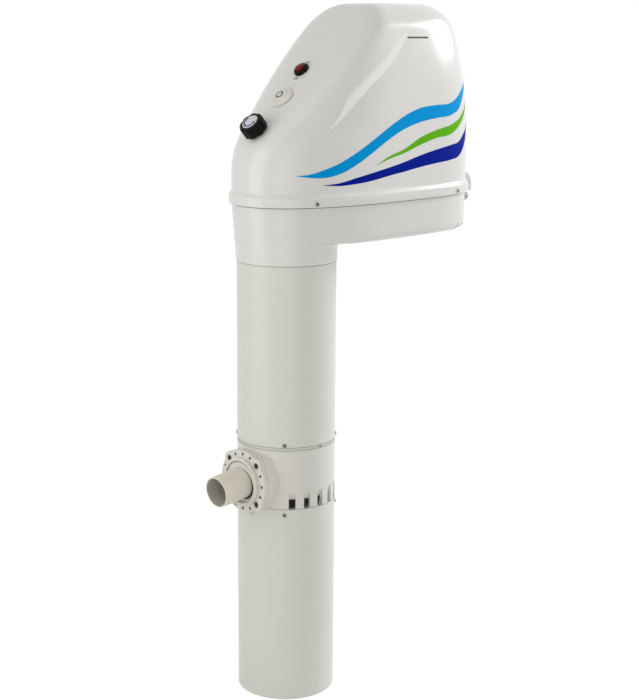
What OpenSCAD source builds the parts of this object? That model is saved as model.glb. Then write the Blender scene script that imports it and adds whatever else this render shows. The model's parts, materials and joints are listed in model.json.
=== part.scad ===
// Hang-on counter-current swim jet.
// The head rests on the pool edge, the column hangs down the pool's inner wall.
// Origin: middle of the seat under the head. +Z up, the jet looks along -Y.

/* [Column] */
// Outside diameter of the column pipe
tube_od = 200; // [190:1:215]
// Wall of the column pipe
tube_wall = 5; // [3:0.5:7]
// Length of the pipe between the head and the jet collar
upper_tube_len = 364; // [330:1:500]
// Length of the pipe below the jet collar
lower_tube_len = 410; // [150:1:600]
// Height of the seal ring on top of the jet collar
seal_ring_h = 6; // [4:0.5:10]
// How far the spigots reach into the pipes
spigot_len = 40; // [30:1:60]
// Wall of the spigots
spigot_wall = 6; // [4:0.5:8]
// Thickness of the cap in the lower end
end_cap_h = 10; // [5:1:20]
// Thickness of the plate above the suction chamber
bulkhead_h = 8; // [5:1:14]

/* [Head] */
// Width of the hood over its side walls
head_w = 274; // [266:1:300]
// Reach of the hood in front of the column's axis
head_front = 111; // [109:1:116]
// Reach of the hood behind the column's axis
head_back = 457; // [450:1:490]
// Distance from the column's axis to the widest section
widest_y = 185; // [170:1:200]
// Place of the top's widest section between its front and its rear
crown_share = 0.2; // [0.15:0.05:0.5]
// Distance from the column's axis to the middle of the seat
seat_y = 250; // [200:1:300]
// Depth of the base below the hood's rim
base_h = 78; // [76:1:100]
// Drop of the collar below the seat
collar_drop = 36; // [20:1:60]
// Radial step of the collar over the pipe
collar_step = 1.5; // [0.5:0.5:3]
// Height of the hood above its rim
hood_h = 386; // [380:1:400]
// Wall of the hood
hood_wall = 4.5; // [3:0.5:6]
// Wall and floor of the base
base_wall = 5; // [4:0.5:7]
// Rounding of the base's lower edge
base_round = 18; // [10:1:24]
// Narrowing of the base's front towards the column
base_taper = 4.5; // [0:0.5:5]
// Height of the lip round the hood's rim
lip_h = 20; // [18:1:30]
// Step of the lip over the hood's wall
lip_out = 5.5; // [5:0.5:7]
// Thickness of the rim gasket
gasket_h = 2; // [1:0.5:3]
// Inward bow of the hood's sides at its top
side_bow = 48; // [42:1:52]
// How late the sides bow in, where 2 is an even curve
bow_power = 3.2; // [2:0.1:3.6]
// Rounding of the hood's top edges
crown_r = 51; // [44:1:54]
// Squareness of the front outline, where 2 is round
front_square = 2.37; // [2.25:0.01:2.6]
// Squareness of the rear outline, where 2 is round
back_square = 3.45; // [3:0.05:3.7]
// Gain in squareness per millimetre up the control panel
panel_square = 0.0105; // [0.008:0.0005:0.013]

/* [Control panel] */
// Slope of the panel from the horizontal
panel_angle = 43.5; // [42.5:0.5:44.5]
// Distance from the column's axis to the panel's middle, along Y
panel_y = -16; // [-20:1:-12]
// Height of the panel's middle above the seat
panel_z = 280; // [276:1:284]
// Rounding between the front and the panel
nose_r = 125; // [100:1:130]
// Rounding between the panel and the top
brow_r = 55; // [45:1:70]
// Place of the knob along the panel from its middle
knob_place = -87; // [-92:1:-80]
// Place of the push button along the panel from its middle
button_place = 2.8; // [0:0.1:8]
// Place of the switch along the panel from its middle
switch_place = 77; // [70:1:85]
// Diameter of the knob
knob_d = 50; // [40:1:56]
// Height of the knob
knob_h = 24; // [18:1:30]
// Diameter of the knob's spindle
spindle_d = 8; // [6:0.5:10]
// Diameter of the air valve's body
valve_d = 26; // [22:1:30]
// Length of the air valve's body
valve_len = 34; // [28:1:40]
// Diameter of the button's bezel
bezel_d = 52; // [46:1:56]
// Height of the button's bezel
bezel_h = 8.5; // [7:0.5:10]
// Diameter of the button
button_d = 30; // [20:1:34]
// Travel of the button
button_travel = 4; // [2:0.5:5]
// Diameter of the switch's bezel
switch_d = 32; // [28:1:40]
// Height of the switch's bezel
switch_h = 9; // [7:0.5:12]
// Diameter of the rocker
rocker_d = 19; // [16:1:21]
// Tilt of the rocker to either side
rocker_tilt = 8; // [4:1:10]

/* [Jet] */
// Height of the jet collar
jet_collar_h = 122; // [118:1:160]
// Wall of the jet collar
jet_collar_wall = 8; // [7:0.5:9]
// Height of the jet's axis above the collar's lower edge
jet_z = 54; // [50:1:58]
// Distance from the column's axis to the flange face
flange_face = 119; // [116:1:130]
// Thickness of the flange
flange_t = 10; // [9:0.5:14]
// Radius of the flange between its lobes
flange_r = 64; // [62:1:68]
// Radius of the circle of flange bolts
bolt_circle_r = 56.6; // [56:0.1:58]
// Radius of the four corner lobes
lobe_r = 14; // [12:1:16]
// How far the lip stands out from the flange
jet_lip_h = 8; // [5:0.5:9]
// Wall of the lip at its foot
jet_lip_wall = 2.6; // [2:0.2:2.8]
// Radius of the jet ball
ball_r = 44; // [42:0.5:44]
// Thickness of the ball's seat ring
ball_seat_t = 2.7; // [2:0.1:3]
// Outside diameter of the nozzle pipe and the pressure pipes
pipe_od = 63; // [56:1:63]
// Wall of the nozzle pipe and the pressure pipes
pipe_wall = 3; // [2:0.5:4]
// Reach of the nozzle from the ball's centre
nozzle_len = 80; // [60:1:110]
// Downward tilt of the nozzle at rest
nozzle_droop = 6; // [0:1:12]
// Radius of the chamber behind the jet
chamber_r = 58; // [56:1:60]
// Wall of the chamber behind the jet
chamber_wall = 6; // [5:0.5:8]
// Number of suction slots
slot_count = 15; // [7:2:15]
// Angle between suction slots
slot_pitch = 18; // [15:1:18]
// Width of a suction slot
slot_w = 14; // [8:1:16]
// Height of a suction slot
slot_h = 36; // [25:1:38]
// Drop of the slot's sloping roof
slot_ramp = 17; // [5:1:20]

/* [Pump and motor] */
// Distance from the column's axis to the pump's axis
pump_y = 270; // [262:1:280]
// Height of the suction pipe's axis above the seat
suction_z = 46; // [44:1:48]
// Height of the discharge pipe's axis above the seat
discharge_z = 118; // [116:1:122]
// Bend radius of the pipes' axes
bend_r = 40; // [36:1:44]
// Distance from the column's axis to the suction riser, to the rear
suction_riser_y = 42; // [38:1:46]
// Distance from the column's axis to the discharge riser, to the front
discharge_riser_y = 36; // [34:1:38]
// Radius of the pump casing
volute_r = 80; // [76:1:84]
// Height of the pump casing
volute_h = 74; // [73:1:80]
// Radius of the impeller
impeller_r = 62; // [50:1:66]
// Number of impeller vanes
vane_count = 6; // [4:1:8]
// Diameter of the motor shaft
shaft_d = 20; // [16:1:24]
// Radius of the motor housing under its fins
motor_r = 66; // [62:1:68]
// Length of the motor housing
motor_len = 192; // [170:1:200]
// Height of the motor's fins
fin_h = 8; // [4:0.5:9]
// Number of motor fins on the full circle
fin_count = 36; // [24:2:48]
// Thickness of the motor's end bells
bell_h = 16; // [14:1:20]
// Radius of the motor's fan
fan_r = 60; // [50:1:64]
// Number of fan blades
blade_count = 8; // [5:1:12]

/* [Fits] */
// Play between bonded or screwed round parts
fit_gap = 0.2; // [0.1:0.05:0.3]
// Play between the ball, its seat ring and the socket
ball_gap = 0.3; // [0.2:0.05:0.4]
// Play between the shaft and its bearings
running_gap = 0.05; // [0.02:0.01:0.08]
// Play between the lip and the base
rim_gap = 0.5; // [0.4:0.1:1]

/* [Hidden] */
$fn = 64;

// Column heights, measured from the seat, downwards negative
tube_r = tube_od / 2;
bore_r = tube_r - tube_wall;
spigot_r = bore_r - fit_gap;
spigot_bore_r = spigot_r - spigot_wall;
tube_top = -collar_drop;
seal_top = tube_top - upper_tube_len;
jet_collar_top = seal_top - seal_ring_h;
jet_collar_bottom = jet_collar_top - jet_collar_h;
column_bottom = jet_collar_bottom - lower_tube_len;
collar_r = tube_r + collar_step;
spigot_lap = 6;

// Column screws
screw_head_r = 4.75;
screw_head_h = 3.2;
screw_shank_r = 2.4;
screw_setback = 11.5;
screw_angles = [45, 135, 225, 315];
column_screw_z = [jet_collar_top + screw_setback, jet_collar_bottom - screw_setback];
locating_pin_r = 1.8;
locating_pin_head = 0.8;

// Head outline
top_z = base_h + hood_h;
section_points = 56;
crown_shift_power = 10;
panel_square_drop = 52;
panel_square_from = panel_z - panel_square_drop;
slope_drop = 53;
base_offset = -0.3;
base_top = base_h + lip_h - gasket_h;
round_from = -60;
round_to = 40;
rim_screw_places = [-40.8, 28];
rim_screw_z = base_h + lip_h * 0.4;
rim_screw_len = 16;
side_slit_y = 255;
side_slit_z = 395.5;
side_slit_len = 59;
side_slit_h = 3.5;
panel_hole_len = 40;

// Rear cable entry
gland_x = 64;
gland_z = 63;
gland_r = 9;
gland_bore_r = 5;
gland_hex_h = 5;
gland_reach = 12;
gland_boss_r = 14;
gland_boss_len = 22;
gland_boss_y = head_back + 1;
cowl_x = 46;
cowl_w = 36;
cowl_y = head_back + 11;
cowl_r = 29;
cowl_low = 75.5;
cowl_high = 117.4;
cowl_wall = 3;

// Panel hardware
stem_hole_r = spindle_d / 2 + 3;
knob_lift = 2;
knob_flutes = 8;
knob_flute_depth = 2;
knob_cap_h = 1.6;
nut_h = 3;
button_neck_r = button_d / 2 + 2;
bellows_len = 30;
line_r = 2.5;
line_bore_r = 1.5;
switch_neck_r = rocker_d / 2 + 2;
switch_len = 28;
air_hose_r = 5;
air_hose_bore_r = 3.5;
air_hose_y = -78;
air_hose_drop = 40;
barb_len = 12;
barb_root = 14;
panel_seat = 1;
valve_seat = 2.6;
spindle_depth = hood_wall + valve_len / 2;
spindle_high = knob_h - 6;
rocker_pivot = switch_h - 3.5;
rocker_low = 2.5;
rocker_high = 4.5;
rocker_pin_r = 1.5;
rocker_pin_reach = 1.5;

// Jet
ball_y = -(flange_face - flange_t);
nozzle_z = jet_collar_bottom + jet_z;
jet_gasket_t = 1.5;
seat_in_r = ball_r + ball_gap;
seat_out_r = seat_in_r + ball_seat_t;
socket_r = seat_out_r + ball_gap;
seat_front = 13;
seat_back = 16;
ball_front = 14;
ball_back = 30;
ball_throat_r = 24;
lobe_angles = [45, 135, 225, 315];
bolt_head_r = 5.9;
bolt_head_h = 6;
bolt_shank_r = 3;
bolt_len = 30;
bolt_recess_gap = 0.5;
small_screw_r = 2.9;
small_shank_r = 1.8;
small_screw_len = 8;
small_screw_step = 22.5;
pipe_r = pipe_od / 2;
pipe_bore_r = pipe_r - pipe_wall;
socket_wall = 4.5;
chamber_back = -4;
riser_seat = 50;
riser_socket_h = 72;
boss_r = 10;
boss_drop = 64;
boss_len = 30;
pad_len = 38;
seat_wall = 4;

// Pump and motor heights
floor_z = base_wall;
foot_h = 6;
foot_r = 62;
foot_bolt_r = 54;
suction_chamber_r = 42;
suction_bore_r = 36;
volute_bottom = discharge_z - volute_h / 2;
volute_top = volute_bottom + volute_h;
volute_wall = 10;
eye_r = 30;
plate_h = 12;
pump_bolt_depth = 14;
seal_r = 18;
bell_z = volute_top + plate_h;
housing_z = bell_z + bell_h;
upper_bell_z = housing_z + motor_len;
fan_z = upper_bell_z + bell_h + 6;
fan_h = 22;
blade_t = 2.5;
cover_top = fan_z + fan_h + 8;
cover_wall = 2.5;
shaft_r = shaft_d / 2;
bearing_r = shaft_r + 11;
bearing_h = 12;
bearing_inset = 2;
rotor_r = 35;
air_gap = 0.6;
core_len = 140;
core_z = housing_z + (motor_len - core_len) / 2;
housing_wall = 6;
impeller_z = volute_bottom + 18;
impeller_h = 34;
shroud_t = 4;
socket_depth = 10;
suction_socket_reach = 52;
discharge_socket_reach = volute_r + 12;

// Boxes in the head
box_wall = 3;
box_x = 46;
box_y = 90;
box_size = [54, 110, 90];
capacitor_r = 20;
capacitor_h = 90;
capacitor_foot = 4;
capacitor_foot_h = 8;
capacitor_x = -78;
capacitor_y = 150;
terminal_size = [60, 34, 70];
terminal_z = 70;

// Routes of the air line and the switch lead inside the hood
line_lift = 0.5;
line_port = [16, 30];
lead_port = [38, 30];
port_z = floor_z + box_size[2] + line_lift;
line_end = [box_x + line_port[0], box_y + line_port[1], port_z];
lead_end = [box_x + lead_port[0], box_y + lead_port[1], port_z];
lead_r = 3;
line_bend = 30;
bellows_spigot = 10;

// Superellipse power that keeps the sign
function signed_power(value, power) = sign(value) * pow(abs(value), power);

// Inset of the hood's sides at a height, for a wall set in by t
function bow_at(z) = side_bow * pow((z - base_h) / hood_h, bow_power);
function crown_at(z, t) =
    let (rise = z - (top_z - crown_r), r = crown_r - t)
    rise > 0 ? r - sqrt(max(0, r * r - rise * rise)) : 0;

// Front profile of the hood in the middle plane, for a wall set in by t
function front_at(z, t) =
    let (
        front = -head_front + t,
        shift = t / sin(panel_angle),
        slope = panel_y + (z - panel_z) / tan(panel_angle) + shift,
        nose_z = panel_z + (front - panel_y - shift) * tan(panel_angle),
        nose = nose_r - t,
        nose_run = nose * tan((90 - panel_angle) / 2),
        lid_z = top_z - t,
        brow_y = panel_y + (lid_z - panel_z) / tan(panel_angle) + shift,
        brow = brow_r - t,
        brow_run = brow * tan(panel_angle / 2)
    )
    z < nose_z - nose_run ? front
    : z < nose_z + nose_run * sin(panel_angle)
        ? front + nose - sqrt(nose * nose - pow(z - nose_z + nose_run, 2))
    : z < lid_z - brow_run * sin(panel_angle) ? slope
    : brow_y + brow_run - sqrt(max(0, brow * brow - pow(z - lid_z + brow, 2)));

// Closed outline: half width, front, rear, widest place and squareness of both ends
function outline(half, front, rear, middle, front_n, rear_n) = [
    for (i = [0 : section_points - 1])
        let (
            turn = i * 360 / section_points,
            n = sin(turn) < 0 ? front_n : rear_n,
            reach = sin(turn) < 0 ? middle - front : rear - middle
        )
        [
            half * signed_power(cos(turn), 2 / n),
            middle + reach * signed_power(sin(turn), 2 / n)
        ]
];

// Hood section at a height, for a wall set in by t and an outward step
function hood_ring(z, t, step) =
    let (
        inset = bow_at(z) + crown_at(z, t) + t - step,
        top_front = front_at(top_z, 0),
        top_rear = head_back - side_bow - crown_r,
        crown_y = top_front + crown_share * (top_rear - top_front),
        middle = widest_y + (crown_y - widest_y) * pow((z - base_h) / hood_h, crown_shift_power),
        square = front_square + panel_square * max(0, z - panel_square_from)
    )
    [
        for (p = outline(head_w / 2 - inset, front_at(z, t) - step, head_back - inset, middle,
                         square, back_square))
            [p[0], p[1], z]
    ];

// Outline of the rim, stepped outwards
function rim_outline(step) =
    outline(head_w / 2 + step, -head_front - step, head_back + step, widest_y,
            front_square, back_square);

// Place and outward angle of a point on the rim, at a turn of the outline
function rim_point(turn, step) =
    let (
        n = sin(turn) < 0 ? front_square : back_square,
        reach = (sin(turn) < 0 ? widest_y + head_front : head_back - widest_y) + step
    )
    [
        (head_w / 2 + step) * signed_power(cos(turn), 2 / n),
        widest_y + reach * signed_power(sin(turn), 2 / n)
    ];
function rim_heading(turn) =
    let (d = rim_point(turn + 1, 0) - rim_point(turn - 1, 0)) atan2(-d[0], d[1]);

// Base section at a height: the lower edge is rounded except in front, over the column
function base_inset(z) =
    z < base_round ? base_round - sqrt(base_round * base_round - pow(base_round - z, 2)) : 0;
function base_ring(z, wall) =
    let (
        full = base_offset - wall,
        whole = rim_outline(full - base_taper * (1 - min(1, z / base_h))),
        rounded = rim_outline(full - base_inset(max(z - wall, 0)))
    )
    [
        for (i = [0 : section_points - 1])
            let (share = min(1, max(0, (whole[i][1] - round_from) / (round_to - round_from))))
            [
                whole[i][0] * (1 - share) + rounded[i][0] * share,
                whole[i][1] * (1 - share) + rounded[i][1] * share,
                z
            ]
    ];

// Solid between rings of equal length, closed by the first and the last ring
module skin(rings) {
    n = len(rings[0]);
    last = len(rings) - 1;
    points = [for (ring = rings, p = ring) p];
    walls = [
        for (i = [0 : last - 1], j = [0 : n - 1])
            let (a = i * n + j, b = i * n + (j + 1) % n)
            each [[a, a + n, b + n], [a, b + n, b]]
    ];
    first_cap = [for (j = [0 : n - 1]) j];
    last_cap = [for (j = [n - 1 : -1 : 0]) last * n + j];
    polyhedron(points, concat(walls, [first_cap, last_cap]));
}

// Round tube swept along points, with a bore
module swept_tube(route, radius, bore, sides = 8) {
    n = len(route);
    heading = [
        for (i = [0 : n - 1])
            let (d = route[min(i + 1, n - 1)] - route[max(i - 1, 0)]) d / norm(d)
    ];
    function ring(i, r) =
        let (
            side = cross(heading[i], [0, 1, 0]),
            u = side / norm(side),
            v = cross(heading[i], u)
        )
        [for (j = [0 : sides - 1]) route[i] + r * (u * cos(j * 360 / sides) + v * sin(j * 360 / sides))];
    rings = concat([for (i = [0 : n - 1]) ring(i, radius)], [for (i = [n - 1 : -1 : 0]) ring(i, bore)]);
    m = len(rings);
    points = [for (ring = rings, p = ring) p];
    polyhedron(points, [
        for (i = [0 : m - 1], j = [0 : sides - 1])
            let (k = (i + 1) % m, l = (j + 1) % sides)
            each [
                [i * sides + j, k * sides + j, k * sides + l],
                [i * sides + j, k * sides + l, i * sides + l]
            ]
    ]);
}

// Smooth route from one point to another, leaving along a direction and arriving downwards
function route(start, leave, finish, arrive, steps = 12) = [
    for (i = [0 : steps])
        let (t = i / steps, s = 1 - t)
        s * s * s * start + 3 * s * s * t * (start + leave)
            + 3 * s * t * t * (finish + arrive) + t * t * t * finish
];

// Placing helpers
module in_place() {
    translate([0, -seat_y, 0]) children();
}
module on_panel(place) {
    translate([0, panel_y + place * cos(panel_angle), panel_z + place * sin(panel_angle)])
        rotate([panel_angle, 0, 0])
            children();
}
// Local +Z looks out of the jet, with the origin at the ball's centre
module at_jet() {
    translate([0, ball_y, nozzle_z]) rotate([90, 0, 0]) children();
}
module at_pump() {
    translate([0, pump_y, 0]) children();
}
module on_column(angle, z) {
    rotate([0, 0, angle - 90]) translate([0, 0, z]) rotate([0, 90, 0]) children();
}
module on_lip() {
    for (side = [0, 1], turn = rim_screw_places) {
        p = rim_point(turn, lip_out);
        mirror([side, 0, 0])
            translate([p[0], p[1], rim_screw_z])
                rotate([0, 0, rim_heading(turn)])
                    rotate([0, 90, 0])
                        children();
    }
}
module tube(outer, inner, h) {
    difference() {
        cylinder(r = outer, h = h);
        translate([0, 0, -1]) cylinder(r = inner, h = h + 2);
    }
}
module hex(across, h) {
    cylinder(d = across / cos(30), h = h, $fn = 6);
}

// Pipe that rises along Z, bends once and runs along +Y
module bent_pipe(r, riser_y, low, run_z, run_end) {
    translate([0, riser_y, low]) cylinder(r = r, h = run_z - bend_r - low);
    translate([0, riser_y + bend_r, run_z - bend_r])
        rotate([90, 0, -90])
            rotate_extrude(angle = 90)
                translate([bend_r, 0]) circle(r = r);
    translate([0, riser_y + bend_r, run_z])
        rotate([-90, 0, 0])
            cylinder(r = r, h = run_end - riser_y - bend_r);
}

// Head
module hood() {
    rim_z = base_h + lip_h;
    wall_z = rim_z + lip_out;
    slope_z = panel_z - slope_drop;
    crown_z = top_z - crown_r;
    inner_crown = crown_r - hood_wall;
    outer_heights = concat(
        [for (k = [0 : 8]) wall_z + k * (slope_z - wall_z) / 8],
        [for (k = [1 : 5]) slope_z + k * (crown_z - slope_z) / 5],
        [for (k = [1 : 9]) crown_z + crown_r * sin(k * 10)]
    );
    inner_heights = concat(
        [for (k = [9 : -1 : 1]) crown_z + inner_crown * sin(k * 10)],
        [for (k = [5 : -1 : 0]) slope_z + k * (crown_z - slope_z) / 5],
        [for (k = [6 : -1 : 0]) rim_z + k * (slope_z - rim_z) / 7]
    );
    color("whitesmoke")
        difference() {
            skin(concat(
                [for (z = inner_heights) hood_ring(z, hood_wall, 0)],
                [hood_ring(rim_z, 0, base_offset + rim_gap)],
                [hood_ring(base_h, 0, base_offset + rim_gap)],
                [hood_ring(base_h, 0, lip_out)],
                [hood_ring(rim_z, 0, lip_out)],
                [for (z = outer_heights) hood_ring(z, 0, 0)]
            ));
            on_panel(knob_place) cylinder(r = stem_hole_r + fit_gap, h = panel_hole_len, center = true);
            on_panel(button_place) cylinder(r = button_neck_r + fit_gap, h = panel_hole_len, center = true);
            on_panel(switch_place) cylinder(r = switch_neck_r + fit_gap, h = panel_hole_len, center = true);
            translate([-head_w / 2, side_slit_y - side_slit_len / 2, side_slit_z])
                cube([head_w, side_slit_len, side_slit_h]);
            on_lip() cylinder(r = screw_shank_r + fit_gap, h = 2 * rim_screw_len, center = true);
        }
}
module rim_gasket() {
    color("dimgray")
        translate([0, 0, base_top])
            linear_extrude(gasket_h)
                difference() {
                    polygon(rim_outline(base_offset - fit_gap));
                    polygon(rim_outline(-hood_wall + fit_gap));
                }
}
module head_base() {
    edge = [for (k = [0 : 4]) base_round * (1 - cos(k * 22.5))];
    color("whitesmoke")
        difference() {
            union() {
                skin(concat(
                    [for (z = edge) base_ring(z, 0)],
                    [base_ring(base_h, 0), base_ring(base_top, 0), base_ring(base_top, base_wall)],
                    [base_ring(base_h, base_wall)],
                    [for (k = [4 : -1 : 0]) base_ring(base_wall + edge[k], base_wall)]
                ));
                translate([0, 0, tube_top])
                    cylinder(r = collar_r, h = collar_drop + base_wall / 2);
                translate([0, 0, tube_top - spigot_len])
                    cylinder(r = spigot_r, h = spigot_len + 1);
                translate([gland_x, gland_boss_y - gland_boss_len, gland_z])
                    rotate([-90, 0, 0]) cylinder(r = gland_boss_r, h = gland_boss_len);
            }
            translate([0, 0, tube_top - spigot_len - 1])
                cylinder(r = spigot_bore_r, h = spigot_len + collar_drop + base_wall + 2);
            on_lip() cylinder(r = screw_shank_r + fit_gap, h = 3 * rim_screw_len, center = true);
            translate([gland_x, gland_boss_y, gland_z])
                rotate([-90, 0, 0]) cylinder(r = gland_r + fit_gap, h = 3 * gland_boss_len, center = true);
            at_pump() foot_bolt_places() translate([0, 0, 1])
                cylinder(r = screw_shank_r + fit_gap, h = floor_z);
        }
}
module rim_screws() {
    color("dimgray")
        on_lip() {
            translate([0, 0, fit_gap / 2]) cylinder(r = screw_head_r, h = screw_head_h);
            translate([0, 0, -rim_screw_len]) cylinder(r = screw_shank_r, h = rim_screw_len + 1);
        }
}
module cable_cowl() {
    reach = cowl_y - widest_y;
    rim_z = base_h + lip_h;
    module profile(shrink) {
        square([reach - shrink, cowl_high - cowl_low - cowl_r]);
        square([reach - cowl_r, cowl_high - cowl_low - shrink]);
        translate([reach - cowl_r, cowl_high - cowl_low - cowl_r])
            intersection() {
                circle(r = cowl_r - shrink);
                square(cowl_r);
            }
    }
    color("lightgray")
        difference() {
            translate([cowl_x, widest_y, cowl_low])
                rotate([90, 0, 90]) linear_extrude(cowl_w) profile(0);
            translate([cowl_x + cowl_wall, widest_y, cowl_low - cowl_wall])
                rotate([90, 0, 90]) linear_extrude(cowl_w - 2 * cowl_wall) profile(cowl_wall);
            translate([0, 0, cowl_low - cowl_wall])
                linear_extrude(rim_z + lip_out / 2 - cowl_low + cowl_wall)
                    polygon(rim_outline(lip_out + fit_gap));
            translate([0, 0, rim_z]) linear_extrude(lip_out) polygon(rim_outline(lip_out / 2 + fit_gap));
            translate([0, 0, rim_z]) linear_extrude(cowl_high) polygon(rim_outline(fit_gap));
        }
}
module cable_gland() {
    nut_y = -gland_boss_len - gland_hex_h - fit_gap;
    color("darkgray")
        translate([gland_x, gland_boss_y, gland_z])
            rotate([-90, 0, 0])
                difference() {
                    union() {
                        translate([0, 0, nut_y]) cylinder(r = gland_r, h = gland_reach - nut_y);
                        translate([0, 0, fit_gap]) hex(2 * gland_r + 4, gland_hex_h);
                        translate([0, 0, nut_y]) hex(2 * gland_r + 4, gland_hex_h);
                    }
                    translate([0, 0, nut_y - 1]) cylinder(r = gland_bore_r, h = gland_reach - nut_y + 2);
                }
}

// Air regulator
module air_knob() {
    color("#18181a")
        on_panel(knob_place)
            translate([0, 0, knob_lift])
                difference() {
                    union() {
                        cylinder(d = knob_d, h = knob_h * 0.75);
                        translate([0, 0, knob_h * 0.75])
                            cylinder(d1 = knob_d, d2 = knob_d - 6, h = knob_h * 0.25);
                    }
                    for (k = [0 : knob_flutes - 1])
                        rotate([0, 0, (k + 0.5) * 360 / knob_flutes])
                            translate([knob_d / 2 + 9 - knob_flute_depth, 0, -1])
                                cylinder(r = 9, h = knob_h + 2);
                    translate([0, 0, -1]) cylinder(r = stem_hole_r + 6, h = nut_h + 3);
                    translate([0, 0, -1]) cylinder(d = spindle_d, h = spindle_high + fit_gap + 1);
                    translate([0, 0, knob_h - knob_cap_h])
                        cylinder(d = knob_d - 14, h = knob_cap_h + 1);
                }
}
module knob_cap() {
    color("ghostwhite")
        on_panel(knob_place)
            translate([0, 0, knob_lift + knob_h - knob_cap_h])
                cylinder(d = knob_d - 14 - 2 * fit_gap, h = knob_cap_h + 0.6);
}
module valve_spindle() {
    color("silver")
        on_panel(knob_place)
            translate([0, 0, -spindle_depth])
                cylinder(d = spindle_d - 2 * running_gap, h = spindle_depth + knob_lift + spindle_high);
}
module valve_nut() {
    color("silver")
        on_panel(knob_place)
            translate([0, 0, fit_gap])
                difference() {
                    hex(2 * stem_hole_r + 6, nut_h);
                    translate([0, 0, -1]) cylinder(r = stem_hole_r + fit_gap / 2, h = nut_h + 2);
                }
}
module air_valve() {
    color("dimgray") {
        difference() {
            union() {
                on_panel(knob_place) {
                    translate([0, 0, -hood_wall - valve_seat - valve_len])
                        cylinder(d = valve_d, h = valve_len);
                    translate([0, 0, -hood_wall - valve_seat - 1])
                        cylinder(r = stem_hole_r, h = hood_wall + valve_seat + 1 + nut_h);
                }
                translate([0, air_hose_y, air_hose_top()])
                    cylinder(r = air_hose_bore_r - fit_gap, h = barb_len + barb_root);
            }
            on_panel(knob_place)
                translate([0, 0, -spindle_depth - fit_gap])
                    cylinder(d = spindle_d, h = valve_len + hood_wall + valve_len);
        }
    }
}
function air_hose_top() = panel_z + knob_place * sin(panel_angle) - air_hose_drop;
module air_hose() {
    low = nozzle_z + flange_r + fit_gap;
    color("slategray")
        translate([0, air_hose_y, low])
            tube(air_hose_r, air_hose_bore_r, air_hose_top() + barb_len - low);
}

// Push button
module button_bezel() {
    color("ivory")
        on_panel(button_place)
            translate([0, 0, fit_gap])
                difference() {
                    union() {
                        cylinder(d = bezel_d, h = bezel_h * 0.3);
                        translate([0, 0, bezel_h * 0.3])
                            cylinder(d1 = bezel_d, d2 = bezel_d - 5, h = bezel_h * 0.35);
                        translate([0, 0, bezel_h * 0.65])
                            cylinder(d1 = bezel_d - 5, d2 = button_d + 5, h = bezel_h * 0.35);
                    }
                    translate([0, 0, -1]) cylinder(d = button_d + 2 * ball_gap, h = bezel_h + 2);
                }
}
module button_cap() {
    color("ivory")
        on_panel(button_place)
            translate([0, 0, fit_gap + bezel_h - button_travel - 2])
                union() {
                    cylinder(d = button_d, h = button_travel + 3);
                    translate([0, 0, -4]) cylinder(d = button_d / 3, h = 5);
                }
}
module button_bellows() {
    depth = hood_wall + bellows_len;
    color("dimgray")
        on_panel(button_place)
            difference() {
                union() {
                    translate([0, 0, -depth]) cylinder(r = button_neck_r, h = depth);
                    translate([0, 0, -depth - bellows_spigot])
                        cylinder(r = line_r + 1, h = bellows_spigot + 1);
                }
                translate([0, 0, -hood_wall - bellows_len / 2])
                    cylinder(d = button_d + 2 * ball_gap, h = depth);
                translate([0, 0, -depth - bellows_spigot - 1]) cylinder(r = line_bore_r, h = depth);
            }
}
module bellows_nut() {
    color("dimgray")
        on_panel(button_place)
            translate([0, 0, -hood_wall - panel_seat - nut_h])
                difference() {
                    hex(2 * button_neck_r + 12, nut_h);
                    translate([0, 0, -1]) cylinder(r = button_neck_r + fit_gap, h = nut_h + 2);
                }
}
function panel_out() = [0, -sin(panel_angle), cos(panel_angle)];
function panel_point(place, depth) =
    [0, panel_y + place * cos(panel_angle), panel_z + place * sin(panel_angle)] - depth * panel_out();
module air_line() {
    start = panel_point(button_place, hood_wall + bellows_len + bellows_spigot + line_lift);
    color("gray")
        swept_tube(
            route(start, -panel_out() * line_bend, line_end, [0, 0, 2 * line_bend]), line_r, line_bore_r
        );
}

// Switch
module switch_bezel() {
    color("#18181a")
        on_panel(switch_place)
            translate([0, 0, fit_gap])
                difference() {
                    union() {
                        cylinder(d = switch_d, h = switch_h * 0.4);
                        translate([0, 0, switch_h * 0.4])
                            cylinder(d1 = switch_d, d2 = rocker_d + 6, h = switch_h * 0.6);
                    }
                    translate([0, 0, -1]) cylinder(d = rocker_d + 4 * ball_gap, h = switch_h + 2);
                    translate([0, 0, rocker_pivot]) rotate([0, 90, 0])
                        cylinder(r = rocker_pin_r + running_gap, h = rocker_pin_len(ball_gap),
                                 center = true);
                }
}
function rocker_pin_len(extra) = rocker_d + 4 * ball_gap + 2 * rocker_pin_reach + 2 * extra;
module switch_rocker() {
    color("#c01818")
        on_panel(switch_place)
            translate([0, 0, fit_gap + rocker_pivot])
                rotate([-rocker_tilt, 0, 0])
                    union() {
                        translate([0, 0, -rocker_low])
                            cylinder(d = rocker_d - 2 * ball_gap, h = rocker_low + rocker_high);
                        rotate([0, 90, 0])
                            cylinder(r = rocker_pin_r, h = rocker_pin_len(0), center = true);
                    }
}
module switch_body() {
    depth = hood_wall + switch_len;
    color("#18181a")
        on_panel(switch_place)
            difference() {
                union() {
                    translate([0, 0, -depth]) cylinder(r = switch_neck_r, h = depth);
                    translate([0, 0, -depth]) cylinder(r = switch_neck_r + 3, h = switch_len - panel_seat);
                }
                translate([0, 0, -hood_wall]) cylinder(d = rocker_d + 4 * ball_gap, h = depth);
            }
}
module switch_lead() {
    start = panel_point(switch_place, hood_wall + switch_len + line_lift);
    color("#202022")
        swept_tube(
            route(start, -panel_out() * line_bend, lead_end, [0, 0, 2 * line_bend]), lead_r, line_bore_r
        );
}
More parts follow.
